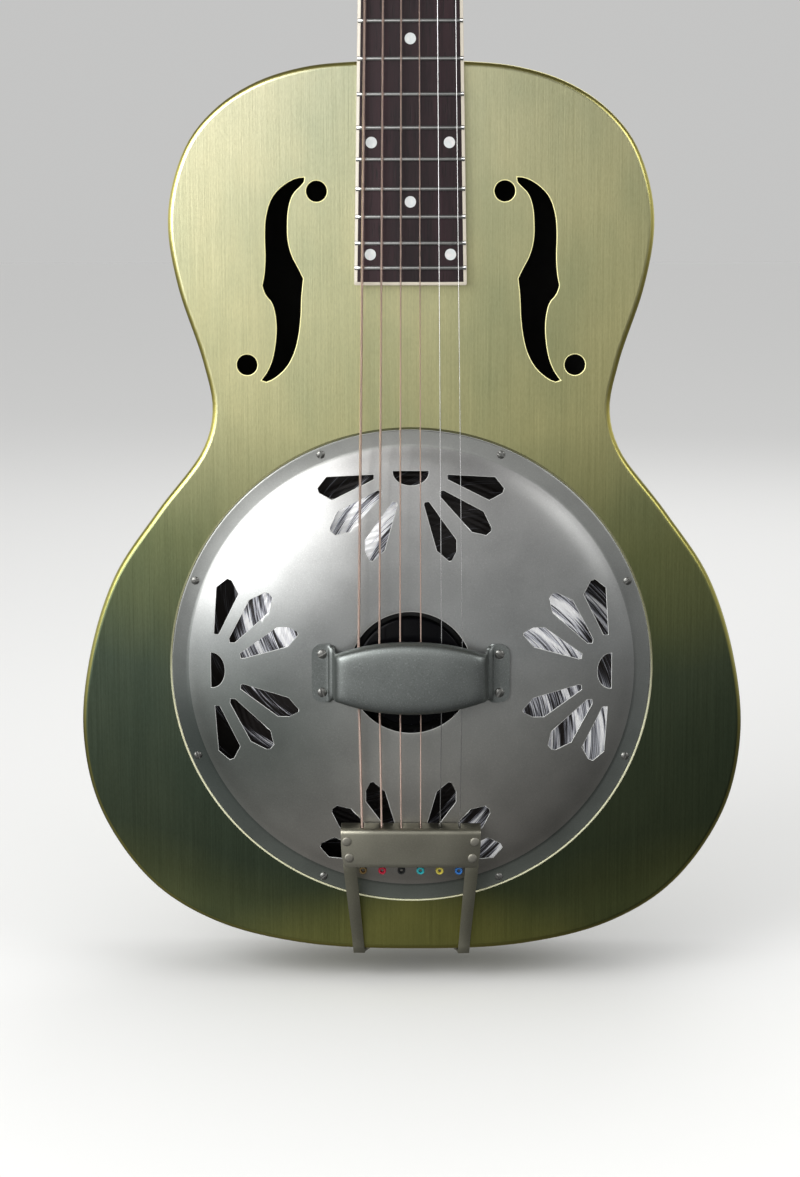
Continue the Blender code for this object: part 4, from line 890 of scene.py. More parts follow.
rest = obj("rest", sheet([[(x, f * w, h - d * r) for f, d in ACROSS] for x, h, w, r in stations]))
ss = rest.modifiers.new("s", "SUBSURF")
ss.levels = ss.render_levels = 1
so = rest.modifiers.new("t", "SOLIDIFY")
so.thickness, so.offset, so.use_even_offset = 1.0 * MM, 1, True
rest.data = evaluated(rest)
rest.modifiers.clear()
rc = bmesh.new()
for sx in (1, -1):
    for sy in (1, -1):
        cylinder(1.6, H0 - 5, H0 + 5, 16, (REST_SCREWS[0] * sx, REST_SCREWS[1] * sy), rc)
cut(rest, obj("rc", rc))
piece("hand_rest_bridge", edge_bevel(rest, 0.3, 2, 60), NICKEL2, ("hand_rest",), sharp=45)


# ---- screws and rivets -----------------------------------------------------------------
def screw_mesh(head_r, dome_h, shank, slot_w=0.6):
    prof_ = [(0, dome_h)]
    for t in range(15, 91, 15):
        prof_.append((head_r * math.sin(math.radians(t)), dome_h * (0.25 + 0.75 * math.cos(math.radians(t)))))
    prof_ += [(head_r, 0.0), (1.15, 0), (1.15, -shank + 1), (0, -shank)]
    o = lathe("screw", prof_, 32)
    cut(o, obj("slot", box(-5, 5, -slot_w / 2, slot_w / 2, dome_h * 0.12, 5)))
    edge_bevel(o, 0.08, 1, 50)
    me = evaluated(o)
    bpy.data.objects.remove(o, do_unlink=True)
    return me


cs = screw_mesh(2.15, 0.95, 5.5, 0.9)
for k in range(8):
    a = math.radians(22.5 + 45 * k)
    put(f"cover_screw_head_{k + 1}", cs, SCREW, (f"cover_screw_{k + 1}",),
        loc=(COVER_SCREW_CIRCLE * math.cos(a), COVER_SCREW_CIRCLE * math.sin(a), 1.5), rot=(0, 0, 0.7 + 1.9 * k))
rs = screw_mesh(2.5, 1.0, 9.0, 1.0)
for k, (sx, sy) in enumerate(((-1, 1), (1, 1), (-1, -1), (1, -1))):
    put(f"rest_screw_{k + 1}", rs, SCREW, (f"hand_rest_screw_{k + 1}",),
        loc=(REST_SCREWS[0] * sx, REST_SCREWS[1] * sy, H0 + 1.05), rot=(0, 0, 0.5 + 2.3 * k))

# ---- tailpiece -------------------------------------------------------------------------
PLATE_H, PLATE_FOLD = 18.9, -85.0
tp = [(-104.6, PLATE_H, 35.0), (-102.5, PLATE_H, 36.0), (-99, PLATE_H, 36.8), (-92, PLATE_H, 37.2), (PLATE_FOLD - 1.6, PLATE_H, 37.3),
      (PLATE_FOLD - 0.7, PLATE_H - 0.06, 37.3), (PLATE_FOLD, PLATE_H - 0.35, 37.3), (PLATE_FOLD + 0.4, PLATE_H - 0.9, 37.3),
      (PLATE_FOLD + 0.7, PLATE_H - 1.7, 37.3), (PLATE_FOLD + 2.4, PLATE_H - 7.6, 37.3)]
plate = obj("plate", sheet([[(f * w, y, h) for f in (-1, -0.5, 0, 0.5, 1)] for y, h, w in tp]))
so = plate.modifiers.new("t", "SOLIDIFY")
so.thickness, so.offset, so.use_even_offset = 1.2 * MM, 0, True
plate.data = evaluated(plate)
plate.modifiers.clear()
RIVETS = [(-34.1, -90.4), (-32.9, -99.4), (34.1, -90.4), (32.9, -99.4)]
pc = bmesh.new()
for i in range(6):
    x = (i - 2.5) * (PITCH_SADDLE + (PITCH_BALL - PITCH_SADDLE) * 83 / 108)
    w = STRING_RADIUS[i] + 0.3
    box(x - w, x + w, PLATE_FOLD - 0.4, PLATE_FOLD + 4, 8, 16.6, pc)
cut(plate, obj("pc", pc))
piece("tailpiece_folded_plate", edge_bevel(plate, 0.25, 2, 50), NICKEL3, ("tailpiece_plate",))
END_Y = -157.3
legs = [(-87, 16.4, 33.5, 7.0), (-104, 16.4, 32.6, 7.0), (-106, 16.1, 32.45, 6.95), (-108, 15.5, 32.3, 6.9), (-146, 3.2, 29.2, 6.2), (-149, 2.3, 29.0, 6.2),
        (-153, 1.45, 28.7, 6.2), (-155.6, 0.8, 28.5, 6.2), (END_Y + 0.25, -0.6, 28.4, 6.2), (END_Y, -2.5, 28.3, 6.2), (END_Y, -4.5, 28.0, 6.2), (END_Y, -14, 24, 6.2),
        (END_Y, -24, 16.5, 6.2), (END_Y, -33.9, 9.5, 6.2), (END_Y, -34, 9.5, 6.2), (END_Y, -48, 9.5, 6.2)]
rows = [[(-c - w / 2, y, h), (-c + w / 2, y, h), (c - w / 2, y, h), (c + w / 2, y, h)] for y, h, c, w in legs]
legs_ob = obj("legs", sheet(rows, skip=lambda i, j: j == 1 and i < 14))
so = legs_ob.modifiers.new("t", "SOLIDIFY")
so.thickness, so.offset, so.use_even_offset = 1.3 * MM, 1, True
legs_ob.data = evaluated(legs_ob)
legs_ob.modifiers.clear()
cut(legs_ob, obj("hole", cylinder(2.1, -165, -150, 24, (0, -BODY_DEPTH / 2), axis="Y")))
piece("tailpiece_legs", edge_bevel(legs_ob, 0.3, 2, 50), LEGM, ("tailpiece_frame",))
rv = lathe("rivet", [(0, 20.15), (1.5, 20.12), (2.1, 20.02), (2.4, 19.85), (2.5, 19.65), (2.5, 19.55), (1.25, 19.55), (1.25, 16.3), (2.0, 16.3),
                     (1.8, 15.6), (0, 15.3)], 32)
me = evaluated(rv)
bpy.data.objects.remove(rv, do_unlink=True)
for k, (x, y) in enumerate(RIVETS):
    put(f"rivet_head_{k + 1}", me, RIVETM, (f"tailpiece_rivet_{k + 1}",), loc=(x, y, 0))
piece("strap_button_turned", lathe("sb", [(0, 8.0), (4.4, 8.0), (5.4, 7.8), (6.1, 7.35), (6.3, 6.8), (6.2, 6.3), (5.4, 5.6), (4.3, 4.9), (3.85, 4.1),
                                          (3.7, 2.9), (3.8, 1.8), (4.3, 0.8), (5.0, 0.2), (5.0, 0), (1.6, 0), (1.6, -16), (0, -19)], 48),
      SCREW, ("strap_button",), frame_m=FRONT, loc=(0, END_Y - 1.3 - GAP, -BODY_DEPTH / 2),
      rot=(math.radians(90), 0, 0))


# ---- neck ------------------------------------------------------------------------------
def half_width(y):
    return (NUT_WIDTH + BOARD_TAPER * (SCALE - y)) / 2


def neck_section(y, depth, w=None, power=2.3, top=None, n=36):
    w = half_width(y) if w is None else w
    zt = board_h(y) - BOARD_THICK - 0.05 if top is None else top
    ring = [(-w, y, zt), (w, y, zt), (w, y, zt - 1.5)]
    for k in range(1, n):
        t = math.pi * k / n
        c, s = math.cos(t), math.sin(t)
        ring.append((w * math.copysign(abs(c) ** (2 / power), c), y, zt - 1.5 - (depth - 1.5) * s ** (2 / power)))
    ring.append((-w, y, zt - 1.5))
    return ring


HEEL_Y = 317.4
keys = [(HEEL_Y, 74, 1.7), (321.5, 73, 1.7), (326, 70, 1.7), (333, 58, 1.75), (339, 44, 1.9), (346, 32, 2.0), (356, 23.5, 2.15),
        (372, 18.6, 2.3), (400, 17.8, 2.3), (440, 17.4, 2.3), (500, 16.5, 2.3), (560, 15.6, 2.3), (628, 14.6, 2.3), (641, 15.2, 2.3)]
line = smooth_line([(y, d) for y, d, p in keys], 70)
rings = []
for y, d in line:
    p = next((a[2] + (b[2] - a[2]) * (y - a[0]) / (b[0] - a[0]) for a, b in zip(keys, keys[1:]) if a[0] <= y <= b[0]), 2.3)
    rings.append(neck_section(y, d, power=p))
rings += [neck_section(648, 14.6, w=21.8, top=HEAD_ORIGIN.z - 3.0), neck_section(655, 13.8, w=20.6, top=HEAD_ORIGIN.z - 6.2),
          neck_section(662, 12.0, w=18.5, top=HEAD_ORIGIN.z - 9.5)]
neck = obj("neck", loft(rings))
HEAD_HALF = [(22.2, -2.0), (22.6, 4), (24.5, 12), (29.0, 21), (31.5, 30), (32.3, 60), (33.2, 100), (34.4, 140),
             (35.2, 158), (33.5, 164.5), (29.0, 167.5), (15, 171.0)]
hh = smooth_line(HEAD_HALF[:9], 50) + smooth_line(HEAD_HALF[8:] + [(0, 171.6)], 16)[1:-1]
head_outline = [(-x, y) for x, y in hh] + [(0, 171.6)] + [(x, y) for x, y in reversed(hh)]
slab = obj("slab", rounded(rounded(prism(head_outline, -HEAD_THICK, -0.02), -HEAD_THICK, 1.6, 3), -0.02, 0.3, 1))
slab.data.transform(Matrix.Translation(HEAD_ORIGIN * MM) @ Euler((-HEAD_ANGLE, 0, 0)).to_matrix().to_4x4())
cut(neck, slab, "UNION")
nc = bmesh.new()
for x in (POST_X, -POST_X):
    for y in POST_YS:
        cylinder(4.3, -30, 30, 32, (x, y), nc)
nco = obj("nc", nc)
nco.data.transform(Matrix.Translation(HEAD_ORIGIN * MM) @ Euler((-HEAD_ANGLE, 0, 0)).to_matrix().to_4x4())
cut(neck, nco)
rod_ring = []
for y in (332.0, 645.0):
    zt = board_h(y) - BOARD_THICK
    rod_ring.append([(-3.3, y, zt + 4), (3.3, y, zt + 4), (3.3, y, zt - 9.8), (-3.3, y, zt - 9.8)])
cut(neck, obj("rod", loft(rod_ring)))
piece("neck_and_headstock", neck, MAHOG, ("neck",), sharp=30)
wedge = []
for y in (BOARD_END + 1.9, 300.0):
    w = half_width(y) - 2.0
    wedge.append([(-w, y, 0.04), (w, y, 0.04), (w, y, max(board_h(y) - BOARD_THICK - 0.02, 0.1)),
                  (-w, y, max(board_h(y) - BOARD_THICK - 0.02, 0.1))])
piece("board_wedge", obj("wedge", loft(wedge)), MAHOG, ("fingerboard_wedge",))

# ---- fingerboard, frets, dots, binding ---------------------------------------------------
b0, b1 = BOARD_END + BINDING, SCALE + 0.2
rings = []
for k in range(49):
    f = -1 + 2 * k / 48
    ring = []
    for y in (b0, b1):
        x = f * (half_width(y) - BINDING)
        ring.append((x, y, board_h(y) - crown_drop(x)))
    for y in (b1, b0):
        x = f * (half_width(y) - BINDING)
        ring.append((x, y, board_h(y) - BOARD_THICK))
    rings.append(ring)
board = piece("rosewood_board", obj("board", loft(rings)), ROSE, ("fingerboard",))
fr = bmesh.new()
for n in range(1, FRETS + 1):
    y = SCALE * 2 ** (-n / 12)
    w = half_width(y) - 0.25
    rings = []
    for k in range(41):
        f = -1 + 2 * k / 40
        x = f * w
        low = max(0.0, (abs(f) - 0.955) / 0.045) ** 2      # filed ends
        base = board_h(y) - crown_drop(x)
        ring = []
        for t in range(0, 181, 20):
            c, s = math.cos(math.radians(t)), math.sin(math.radians(t))
            yy = y + 1.12 * c
            ring.append((x, yy, board_h(yy) - crown_drop(x) + 0.03 + (FRET_H + 0.02) * (1 - 0.75 * low) * s ** 0.75))
        ring.append((x, y - 1.1, base - 0.4))
        ring.append((x, y + 1.1, base - 0.4))
        rings.append(ring)
    loft(rings, bm=fr)
piece("fret_wires", obj("frets", fr), FRETWIRE, sharp=50)
dots = bmesh.new()


def fret_mid(n):
    return SCALE * (2 ** (-n / 12) + 2 ** (-(n - 1) / 12)) / 2


for n, double in ((3, False), (5, True), (7, False), (9, True), (12, False), (15, True), (17, False), (19, True)):
    for x in ((-20.0, 20.0) if double else (0.0,)):
        y = fret_mid(n) + (0.5 if n >= 12 else 0)
        x = x * half_width(y) / half_width(fret_mid(15))
        start = len(dots.verts)
        cylinder(2.9, -1, 0.06, 40, (x, y), dots)
        dots.verts.ensure_lookup_table()
        for v in list(dots.verts)[start:]:
            v.co.z += board_h(v.co.y) - crown_drop(v.co.x)
piece("pearl_dots", obj("dots", dots), PEARL, sharp=40)
bind = bmesh.new()
path = []
rb = 1.4                                     # small radius at the end's corners
for y in (SCALE, 560, 480, 400, 320, 260, 220, BOARD_END + 3):
    path.append((-half_width(y), y, -half_width(y) + BINDING, y if y > BOARD_END + 4 else BOARD_END + 3))
we = half_width(BOARD_END)
path += [(-we + 0.05, BOARD_END + 0.6, -we + BINDING, BOARD_END + BINDING), (-we + 0.6, BOARD_END, -we + BINDING + 0.1, BOARD_END + BINDING),
         (0, BOARD_END, 0, BOARD_END + BINDING)]
path += [(-a, b, -c, d) for a, b, c, d in reversed(path[:-1])]
rings = []
for xo, yo, xi, yi in path:
    ho, hi_ = board_h(yo) - crown_drop(xo), board_h(yi) - crown_drop(xi)
    fx, fy = xo + (xi - xo) * 0.2, yo + (yi - yo) * 0.2
    rings.append([(xo, yo, board_h(yo) - BOARD_THICK), (xo, yo, ho - 0.35), (fx, fy, ho - 0.02), (xi, yi, hi_ + 0.01),
                  (xi, yi, board_h(yi) - BOARD_THICK)])
piece("cream_binding_strip", obj("bind", loft(rings, bm=bind)), CREAM, ("fingerboard_binding",), sharp=40)

# ---- strings' centre lines ---------------------------------------------------------------
TUNERS = [(-1, 0), (-1, 1), (-1, 2), (1, 2), (1, 1), (1, 0)]


def string_path(i, per=8, turns=WRAPS):
    r, (sx, row) = STRING_RADIUS[i], TUNERS[i]
    xb, xs, xn = (i - 2.5) * PITCH_BALL, string_x(i, 0), string_x(i, SCALE)
    pts = [Vector((xb, BALL_Y + 1.0, BALL_H)), Vector((xs, 0, SADDLE_H - crown_drop(xs))),
           Vector((xn, SCALE + 0.6, NUT_H - crown_drop(xn)))]
    wrap = POST_RADIUS + 0.12 + r
    a0, spin = (0.0, 1) if sx < 0 else (math.pi, -1)
    for k in range(int(turns * per) + 1):
        a = a0 + spin * math.tau * k / per
        h = 9.8 - (2 * r + 0.1) * k / per
        pts.append(HEAD_MATRIX @ Vector((sx * POST_X + wrap * math.cos(a), POST_YS[row] + wrap * math.sin(a), h)))
    return pts


# ---- nut ---------------------------------------------------------------------------------
ny0, ny1 = SCALE + 0.2, HEAD_Y - 0.3
rings = []
for k in range(33):
    f = -1 + 2 * k / 32
    x = f * NUT_WIDTH / 2
    end = max(0.0, (abs(f) - 0.93) / 0.07) ** 2 * 0.7
    zt = NUT_H - crown_drop(x) + 0.35 - end
    zb = board_h(SCALE) - BOARD_THICK - 0.02
    rings.append([(x, ny0, zb), (x, ny1, zb), (x, ny1, zt - 1.8), (x, ny1 - 0.5, zt - 1.0), (x, ny1 - 2.2, zt - 0.25), (x, ny0 + 0.4, zt), (x, ny0, zt - 0.2)])
nut = obj("nut", loft(rings))
sc = bmesh.new()
for i in range(6):
    r = STRING_RADIUS[i]
    a, b, c = string_path(i)[1:4]
    run = []
    for p, q, y in ((a, b, ny0 - 3), (a, b, b.y), (b, c, ny1 + 3)):
        m = p.lerp(q, (y - p.y) / (q.y - p.y))
        run.append((m.x, y, m.z))
    rings = []
    for x, y, z in run:
        ring = [(x + (r + 0.05) * math.cos(math.radians(t)), y, z + (r + 0.05) * math.sin(math.radians(t))) for t in range(180, 361, 22)]
        ring += [(x + r + 0.05, y, z + 6), (x - r - 0.05, y, z + 6)]
        rings.append(ring)
    loft(rings, bm=sc)
cut(nut, obj("slots", sc))
piece("bone_nut", nut, BONEM, ("nut",), sharp=35)

# ---- headstock overlay and rod cover -----------------------------------------------------
ov = obj("ov", prism([(x * 0.998, y if y > 0.1 else 0.1) for x, y in head_outline], 0.0, GAP + OVERLAY))
oc = bmesh.new()
for x in (POST_X, -POST_X):
    for y in POST_YS:
        cylinder(4.3, -5, 10, 32, (x, y), oc)
cut(ov, obj("oc", oc))
piece("overlay_veneer", edge_bevel(ov, 0.35, 2, 50), LACQ, ("headstock_overlay",), frame_m=HEAD)
rcv = smooth_line([(-11, 7), (-10.7, 14), (-9.0, 22), (-6, 29), (-3.2, 35.2), (0, 37)], 30)
rcv = rcv + [(-x, y) for x, y in reversed(rcv[:-1])]
piece("rod_cover_bell", edge_bevel(obj("rcv", prism(rcv, OVERLAY + GAP + 0.02, OVERLAY + GAP + 1.6)), 0.4, 3, 50), LACQ, ("truss_rod_cover",),
      frame_m=HEAD)
tiny = screw_mesh(1.5, 0.7, 3.0, 0.45)
for k, (x, y) in enumerate(((-8, 10), (8, 10), (0, 32.5))):
    put(f"rod_cover_screw_{k + 1}", tiny, SCREW, frame_m=HEAD, loc=(x, y, OVERLAY + GAP + 1.6), rot=(0, 0, 0.4 + k))

# ---- tuners ------------------------------------------------------------------------------
bush = lathe("bush", [(3.6, 3.9), (4.6, 3.8), (5.3, 3.4), (5.6, 2.9), (5.7, OVERLAY + GAP), (3.3, OVERLAY + GAP), (3.3, 3.9)], 40, True)
bme = evaluated(bush)
bpy.data.objects.remove(bush, do_unlink=True)
STRIP_TOP = -HEAD_THICK
for name, sx in (("left", -1), ("right", 1)):
    y0, y1 = POST_YS[0] - 13, POST_YS[-1] + 21
    xc = sx * POST_X
    ring = []
    for cx_, cy_, t0 in ((xc + 4.5, y1 - 3.5, 0), (xc - 4.5, y1 - 3.5, 90), (xc - 4.5, y0 + 3.5, 180), (xc + 4.5, y0 + 3.5, 270)):
        for t in range(0, 91, 15):
            a = math.radians(t0 + t)
            ring.append((cx_ + 3.5 * math.cos(a), cy_ + 3.5 * math.sin(a)))
    strip = obj("strip", prism(ring, STRIP_TOP - 1.2 - GAP, STRIP_TOP - 0.02))
    ears, shh = bmesh.new(), bmesh.new()
    for y in POST_YS:
        for at in (-6.6, 6.6):
            ex = xc + at
            pts = [(y + WORM_OFFSET - 3.2, STRIP_TOP - 1.0)]
            for t in range(180, 361, 20):
                pts.append((y + WORM_OFFSET + 3.2 * math.cos(math.radians(t)), WORM_H - 0.2 + 3.2 * math.sin(math.radians(t))))
            pts.append((y + WORM_OFFSET + 3.2, STRIP_TOP - 1.0))
            loft([[(ex - 0.6, a, b) for a, b in pts], [(ex + 0.6, a, b) for a, b in pts]], bm=ears)
        cylinder(WORM_CORE + 0.25, xc - 9.5, xc + 9.5, 28, (y + WORM_OFFSET, WORM_H), shh, "X")
        cylinder(POST_RADIUS + 0.4, -30, -10, 28, (xc, y), shh)
    cut(strip, obj("ears", ears), "UNION")
    cut(strip, obj("shh", shh))
    piece(f"tuner_strip_plate_{name}", edge_bevel(strip, 0.18, 2, 50), NICKEL, (f"tuner_strip_{name}",), frame_m=HEAD)
    for k, y in enumerate((y0 + 4, POST_YS[0] + 18 - 1.5, POST_YS[1] + 18 - 1.5, y1 - 4)):
        if k in (1, 2):
            y += 1.5 + 1.0
        put(f"strip_screw_{name}_{k + 1}", tiny, SCREW, frame_m=HEAD,
            loc=(xc + (0 if k in (0, 3) else -sx * 4.5), y, STRIP_TOP - 1.2 - GAP), rot=(math.pi, 0, 0.9 * k))
    for k, y in enumerate(POST_YS):
        put(f"post_bushing_{name}_{k + 1}", bme, NICKEL, frame_m=HEAD, loc=(xc, y, 0))


def helix_thread(length, per_turn=20):
    count = int(round(length / WORM_PITCH * per_turn))
    rings_ = []
    for k in range(count + 1):
        x = -length / 2 + length * k / count
        phi = math.pi + math.tau * x / WORM_PITCH
        c, s = math.cos(phi), math.sin(phi)
        fade = min(1.0, k / 6 + 0.25, (count - k) / 6 + 0.25)
        r0, r1 = WORM_CORE - 0.5, WORM_CORE - 0.2 + (WORM_TIP - WORM_CORE + 0.2) * fade
        rings_.append([(x - 0.5, r0 * c, r0 * s), (x - 0.22, r1 * c, r1 * s), (x + 0.22, r1 * c, r1 * s), (x + 0.5, r0 * c, r0 * s)])
    return loft(rings_)


shaft = obj("shaft", cylinder(WORM_CORE, -8.4, 16, 32, axis="X"))
cut(shaft, obj("th", helix_thread(3 * WORM_PITCH)), "UNION")
shaft_me = evaluated(edge_bevel(shaft, 0.12, 1, 60))
bpy.data.objects.remove(shaft, do_unlink=True)
bl = bmesh.new()
bmesh.ops.create_uvsphere(bl, u_segments=48, v_segments=28, radius=1.0)
for v in bl.verts:
    n = v.co.copy()
    pinch = 0.80 + 0.20 * n.z
    v.co = Vector((24 + 7.55 * n.z, 8.3 * math.copysign(abs(n.x) ** 0.85, n.x) * pinch, 4.3 * math.copysign(abs(n.y) ** 0.9, n.y)))
cylinder(3.1, 14.6, 17.6, 32, axis="X", bm=bl, r2=2.5)
btn = obj("btn", bl)
btn_me = evaluated(btn)
bpy.data.objects.remove(btn, do_unlink=True)
gear_pts = []
for t in range(TEETH):
    a = math.tau * (t + 0.5) / TEETH + math.pi / 2
    for da, r in ((-0.135, GEAR_ROOT_R), (-0.10, (GEAR_ROOT_R + GEAR_TIP_R) / 2), (-0.058, GEAR_TIP_R - 0.1), (-0.045, GEAR_TIP_R), (0.045, GEAR_TIP_R),
                  (0.058, GEAR_TIP_R - 0.1), (0.10, (GEAR_ROOT_R + GEAR_TIP_R) / 2), (0.135, GEAR_ROOT_R)):
        gear_pts.append((r * math.cos(a + da), r * math.sin(a + da)))
g = obj("gear", prism(gear_pts, WORM_H - GEAR_THICK / 2, WORM_H + GEAR_THICK / 2))
cut(g, obj("gh", cylinder(2.4, -30, -10, 32)))
gear_me = evaluated(edge_bevel(g, 0.15, 1, 60))
bpy.data.objects.remove(g, do_unlink=True)
gs = screw_mesh(2.9, 1.1, 2.0, 0.7)
post = lathe("post", [(0, 15.0), (1.9, 14.95), (2.6, 14.7), (2.95, 14.1), (3.0, 13.2), (2.75, 11.0), (2.7, 8.0), (2.8, 5.5), (3.0, 4.6), (3.0, WORM_H + 1.3),
                      (2.3, WORM_H + 1.2), (2.3, WORM_H - 1.3), (0, WORM_H - 1.3)], 40)
cut(post, obj("ph", cylinder(0.9, -6, 6, 20, (0, 10.6), axis="Y")))
post_me = evaluated(edge_bevel(post, 0.1, 1, 60))
bpy.data.objects.remove(post, do_unlink=True)
for i, (sx, row) in enumerate(TUNERS):
    y, k = POST_YS[row], i + 1
    ry = 0 if sx > 0 else math.pi
    put(f"string_post_{k}", post_me, SCREW, (f"tuner_post_{k}",), body=f"post_{k}", frame_m=HEAD, loc=(sx * POST_X, y, 0), sharp=40)
    put(f"post_gear_{k}", gear_me, STEEL, body=f"post_{k}", frame_m=HEAD, loc=(sx * POST_X, y, 0))
    put(f"gear_screw_{k}", gs, SCREW, body=f"post_{k}", frame_m=HEAD, loc=(sx * POST_X, y, WORM_H - GEAR_THICK / 2), rot=(math.pi, 0, 0.6 * k))
    put(f"worm_shaft_{k}", shaft_me, STEEL, (f"tuner_knob_{k}",), body=f"knob_{k}", frame_m=HEAD, loc=(sx * POST_X, y + WORM_OFFSET, WORM_H),
        rot=(0, ry, 0), sharp=40)
    put(f"ivory_knob_{k}", btn_me, BUTTON, body=f"knob_{k}", frame_m=HEAD, loc=(sx * POST_X, y + WORM_OFFSET, WORM_H), rot=(0, ry, 0),
        sharp=60)

# ---- strings -----------------------------------------------------------------------------
for i in range(6):
    r, xb, pts = STRING_RADIUS[i], (i - 2.5) * PITCH_BALL, string_path(i, per=32)
    if i >= 4:
        r = (0.0, 0.0, 0.0, 0.0, 0.21, 0.17)[i]
    dense = [pts[0]]
    for a, b in zip(pts, pts[1:]):
        n = max(1, int((b - a).length / 20))
        dense += [a.lerp(b, (k + 1) / n) for k in range(n)]
    cu = bpy.data.curves.new("wire", "CURVE")
    cu.dimensions = "3D"
    cu.bevel_depth = r * MM
    cu.bevel_resolution = 4
    cu.use_fill_caps = True
    sp = cu.splines.new("POLY")
    sp.points.add(len(dense) - 1)
    for p, v in zip(sp.points, dense):
        p.co = (*(v * MM), 1)
    w = bpy.data.objects.new("wire", cu)
    scene.collection.objects.link(w)
    mat = BRONZE if i < 4 else PLAIN
    piece(f"wire_{i + 1}", w, mat, (f"string_{i + 1}",), sharp=60)
    ring = lathe("ball", [(2.15, 0.9), (2.15, -0.9), (1.8, -1.5), (1.2, -1.5), (0.8, -1.0), (0.8, 1.0), (1.2, 1.5), (1.8, 1.5)], 36, True)
    piece(f"ball_end_{i + 1}", ring, BALLS[i], loc=(xb, BALL_Y, BALL_H), rot=(0, 0, 0), sharp=50)
    # the string's own loop and twist behind the ball
    tw = bpy.data.curves.new("twist", "CURVE")
    tw.dimensions = "3D"
    tw.bevel_depth = max(r * 0.55, 0.16) * MM
    tw.bevel_resolution = 3
    tw.use_fill_caps = True
    sp = tw.splines.new("POLY")
    a, b = pts[0], pts[1]
    n = 60
    sp.points.add(n)
    for k in range(n + 1):
        m = a.lerp(b, (2.0 + 16.0 * k / n) / (b - a).length)
        ang = k / n * math.tau * 7
        rr = r + 0.12
        sp.points[k].co = (*((m + Vector((rr * math.cos(ang), 0, rr * math.sin(ang)))) * MM), 1)
    w = bpy.data.objects.new("twist", tw)
    scene.collection.objects.link(w)
    piece(f"string_twist_{i + 1}", w, mat, sharp=60)

# ---- CAD nodes that stay, with better finishes -------------------------------------------
for node, mat in (("sound_well", BODY), ("biscuit_screw", SCREW), ("end_block", PINE), ("neck_stick", PINE), ("neck_stick_post", PINE),
                  ("truss_rod", STEEL)):
    o = frame["nodes"][node]
    o.data.materials.clear()
    o.data.materials.append(mat)

# ---- stage, light, camera ----------------------------------------------------------------
bpy.ops.mesh.primitive_plane_add(size=1, location=(0, 1.0, -0.176))
floor = bpy.context.object
floor.name = "studio_floor"
floor.scale = (40, 40, 1)
fm = Nodes("pale_floor")
fm.base((0.78, 0.78, 0.77))
fm.set(Roughness=0.9)
floor.data.materials.append(fm.mat)
floor.visible_glossy = False

world = bpy.data.worlds.new("studio") if not scene.world else scene.world
scene.world = world
world.use_nodes = True
wt = world.node_tree
wt.nodes.clear()
out = wt.nodes.new("ShaderNodeOutputWorld")
bg = wt.nodes.new("ShaderNodeBackground")
wt.links.new(bg.outputs[0], out.inputs[0])
tc = wt.nodes.new("ShaderNodeTexCoord")
sep = wt.nodes.new("ShaderNodeSeparateXYZ")
wt.links.new(tc.outputs["Generated"], sep.inputs[0])
def wmap(src, a, b, lo, hi, smooth=True):
    nd = wt.nodes.new("ShaderNodeMapRange")
    if smooth:
        nd.interpolation_type = "SMOOTHSTEP"
    for key, v in (("From Min", a), ("From Max", b), ("To Min", lo), ("To Max", hi)):
        nd.inputs[key].default_value = v
    wt.links.new(src, nd.inputs["Value"])
    return nd.outputs["Result"]


def wmath(op, a, b):
    nd = wt.nodes.new("ShaderNodeMath")
    nd.operation = op
    for i, v in enumerate((a, b)):
        if isinstance(v, (int, float)):
            nd.inputs[i].default_value = v
        else:
            wt.links.new(v, nd.inputs[i])
    return nd.outputs[0]


rp = wt.nodes.new("ShaderNodeValToRGB")
wt.links.new(wmap(sep.outputs["Z"], -1, 1, 0, 1, False), rp.inputs[0])
ROOM = [(-1.0, 0.12), (-0.65, 0.24), (-0.42, 0.20), (-0.24, 0.13), (-0.14, 0.20), (-0.05, 0.95), (0.05, 1.1), (0.30, 0.85), (0.45, 0.25), (1.0, 0.12)]
while len(rp.color_ramp.elements) < len(ROOM):
    rp.color_ramp.elements.new(0.5)
for e, (p, c) in zip(rp.color_ramp.elements, ROOM):
    e.position, e.color = (p + 1) / 2, (c, c, c, 1)
front = wmap(sep.outputs["Y"], -0.3, 0.2, 1.0, 0.0)
left = wmap(sep.outputs["X"], -0.22, 0.18, 1.15, 0.42)
side_f = wmath("ADD", wmath("MULTIPLY", left, front), wmath("MULTIPLY", wmath("SUBTRACT", 1.0, front), 0.8))
room = wt.nodes.new("ShaderNodeMix")
room.data_type, room.blend_type = "RGBA", "MULTIPLY"
room.inputs[0].default_value = 1.0
wt.links.new(rp.outputs[0], room.inputs[6])
wt.links.new(side_f, room.inputs[7])
lp = wt.nodes.new("ShaderNodeLightPath")
mx = wt.nodes.new("ShaderNodeMix")
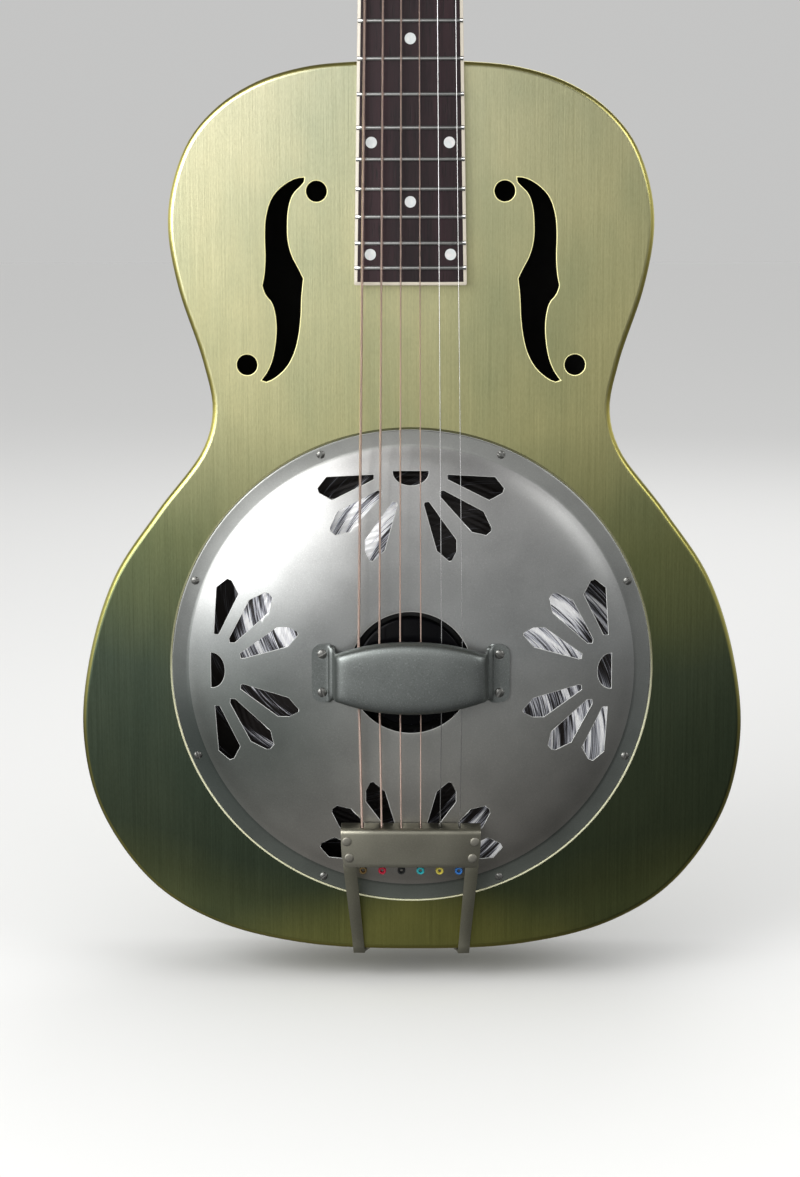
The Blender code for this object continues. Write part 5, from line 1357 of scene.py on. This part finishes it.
mx.data_type = "RGBA"
wt.links.new(lp.outputs["Is Camera Ray"], mx.inputs[0])
soft = wt.nodes.new("ShaderNodeMix")
soft.data_type = "RGBA"
wt.links.new(lp.outputs["Is Diffuse Ray"], soft.inputs[0])
wt.links.new(room.outputs[2], soft.inputs[6])
soft.inputs[7].default_value = (0.75, 0.75, 0.75, 1)
wt.links.new(soft.outputs[2], mx.inputs[6])
mx.inputs[7].default_value = (0.555, 0.555, 0.550, 1)
wt.links.new(mx.outputs[2], bg.inputs[0])
bg.inputs[1].default_value = 1.0


def area(name, loc, target, size, power, colour=(1, 1, 1), size_y=None):
    d = bpy.data.lights.new(name, "AREA")
    d.shape = "RECTANGLE"
    d.size, d.size_y = size, size_y or size
    d.energy = power
    d.color = colour
    o = bpy.data.objects.new(name, d)
    scene.collection.objects.link(o)
    o.location = loc
    o.rotation_euler = (Vector(target) - Vector(loc)).to_track_quat("-Z", "Y").to_euler()
    return o


area("key", (-1.15, -1.48, 0.85), (0, 0, 0.05), 1.35, 31)
area("fill", (1.35, -1.3, 1.05), (0, 0, 0.1), 0.9, 8)
for lamp in (area("top", (0.2, -0.3, 2.4), (0, 0.2, 0.0), 2.4, 9), area("rear", (0.6, 1.9, 1.6), (0, 0, 0.2), 1.4, 10)):
    lamp.visible_glossy = lamp.name == "rear"

cam = bpy.data.cameras.new("camera")
cam.sensor_width = 36
cam.lens = 70.0
cam_ob = bpy.data.objects.new("camera", cam)
scene.collection.objects.link(cam_ob)
cam_ob.location = (0.0147, -1.2 - BODY_DEPTH * MM, 0.23665)
yaw, pitch, roll = math.radians(0.98), math.radians(9.166), math.radians(-0.10)
fwd = Vector((-math.sin(yaw) * math.cos(pitch), math.cos(yaw) * math.cos(pitch), -math.sin(pitch)))
q = fwd.to_track_quat("-Z", "Y")
cam_ob.rotation_euler = (q @ Euler((0, 0, roll)).to_quaternion()).to_euler()
cam.clip_start = 0.05
scene.camera = cam_ob
scene.view_settings.view_transform = "Standard"
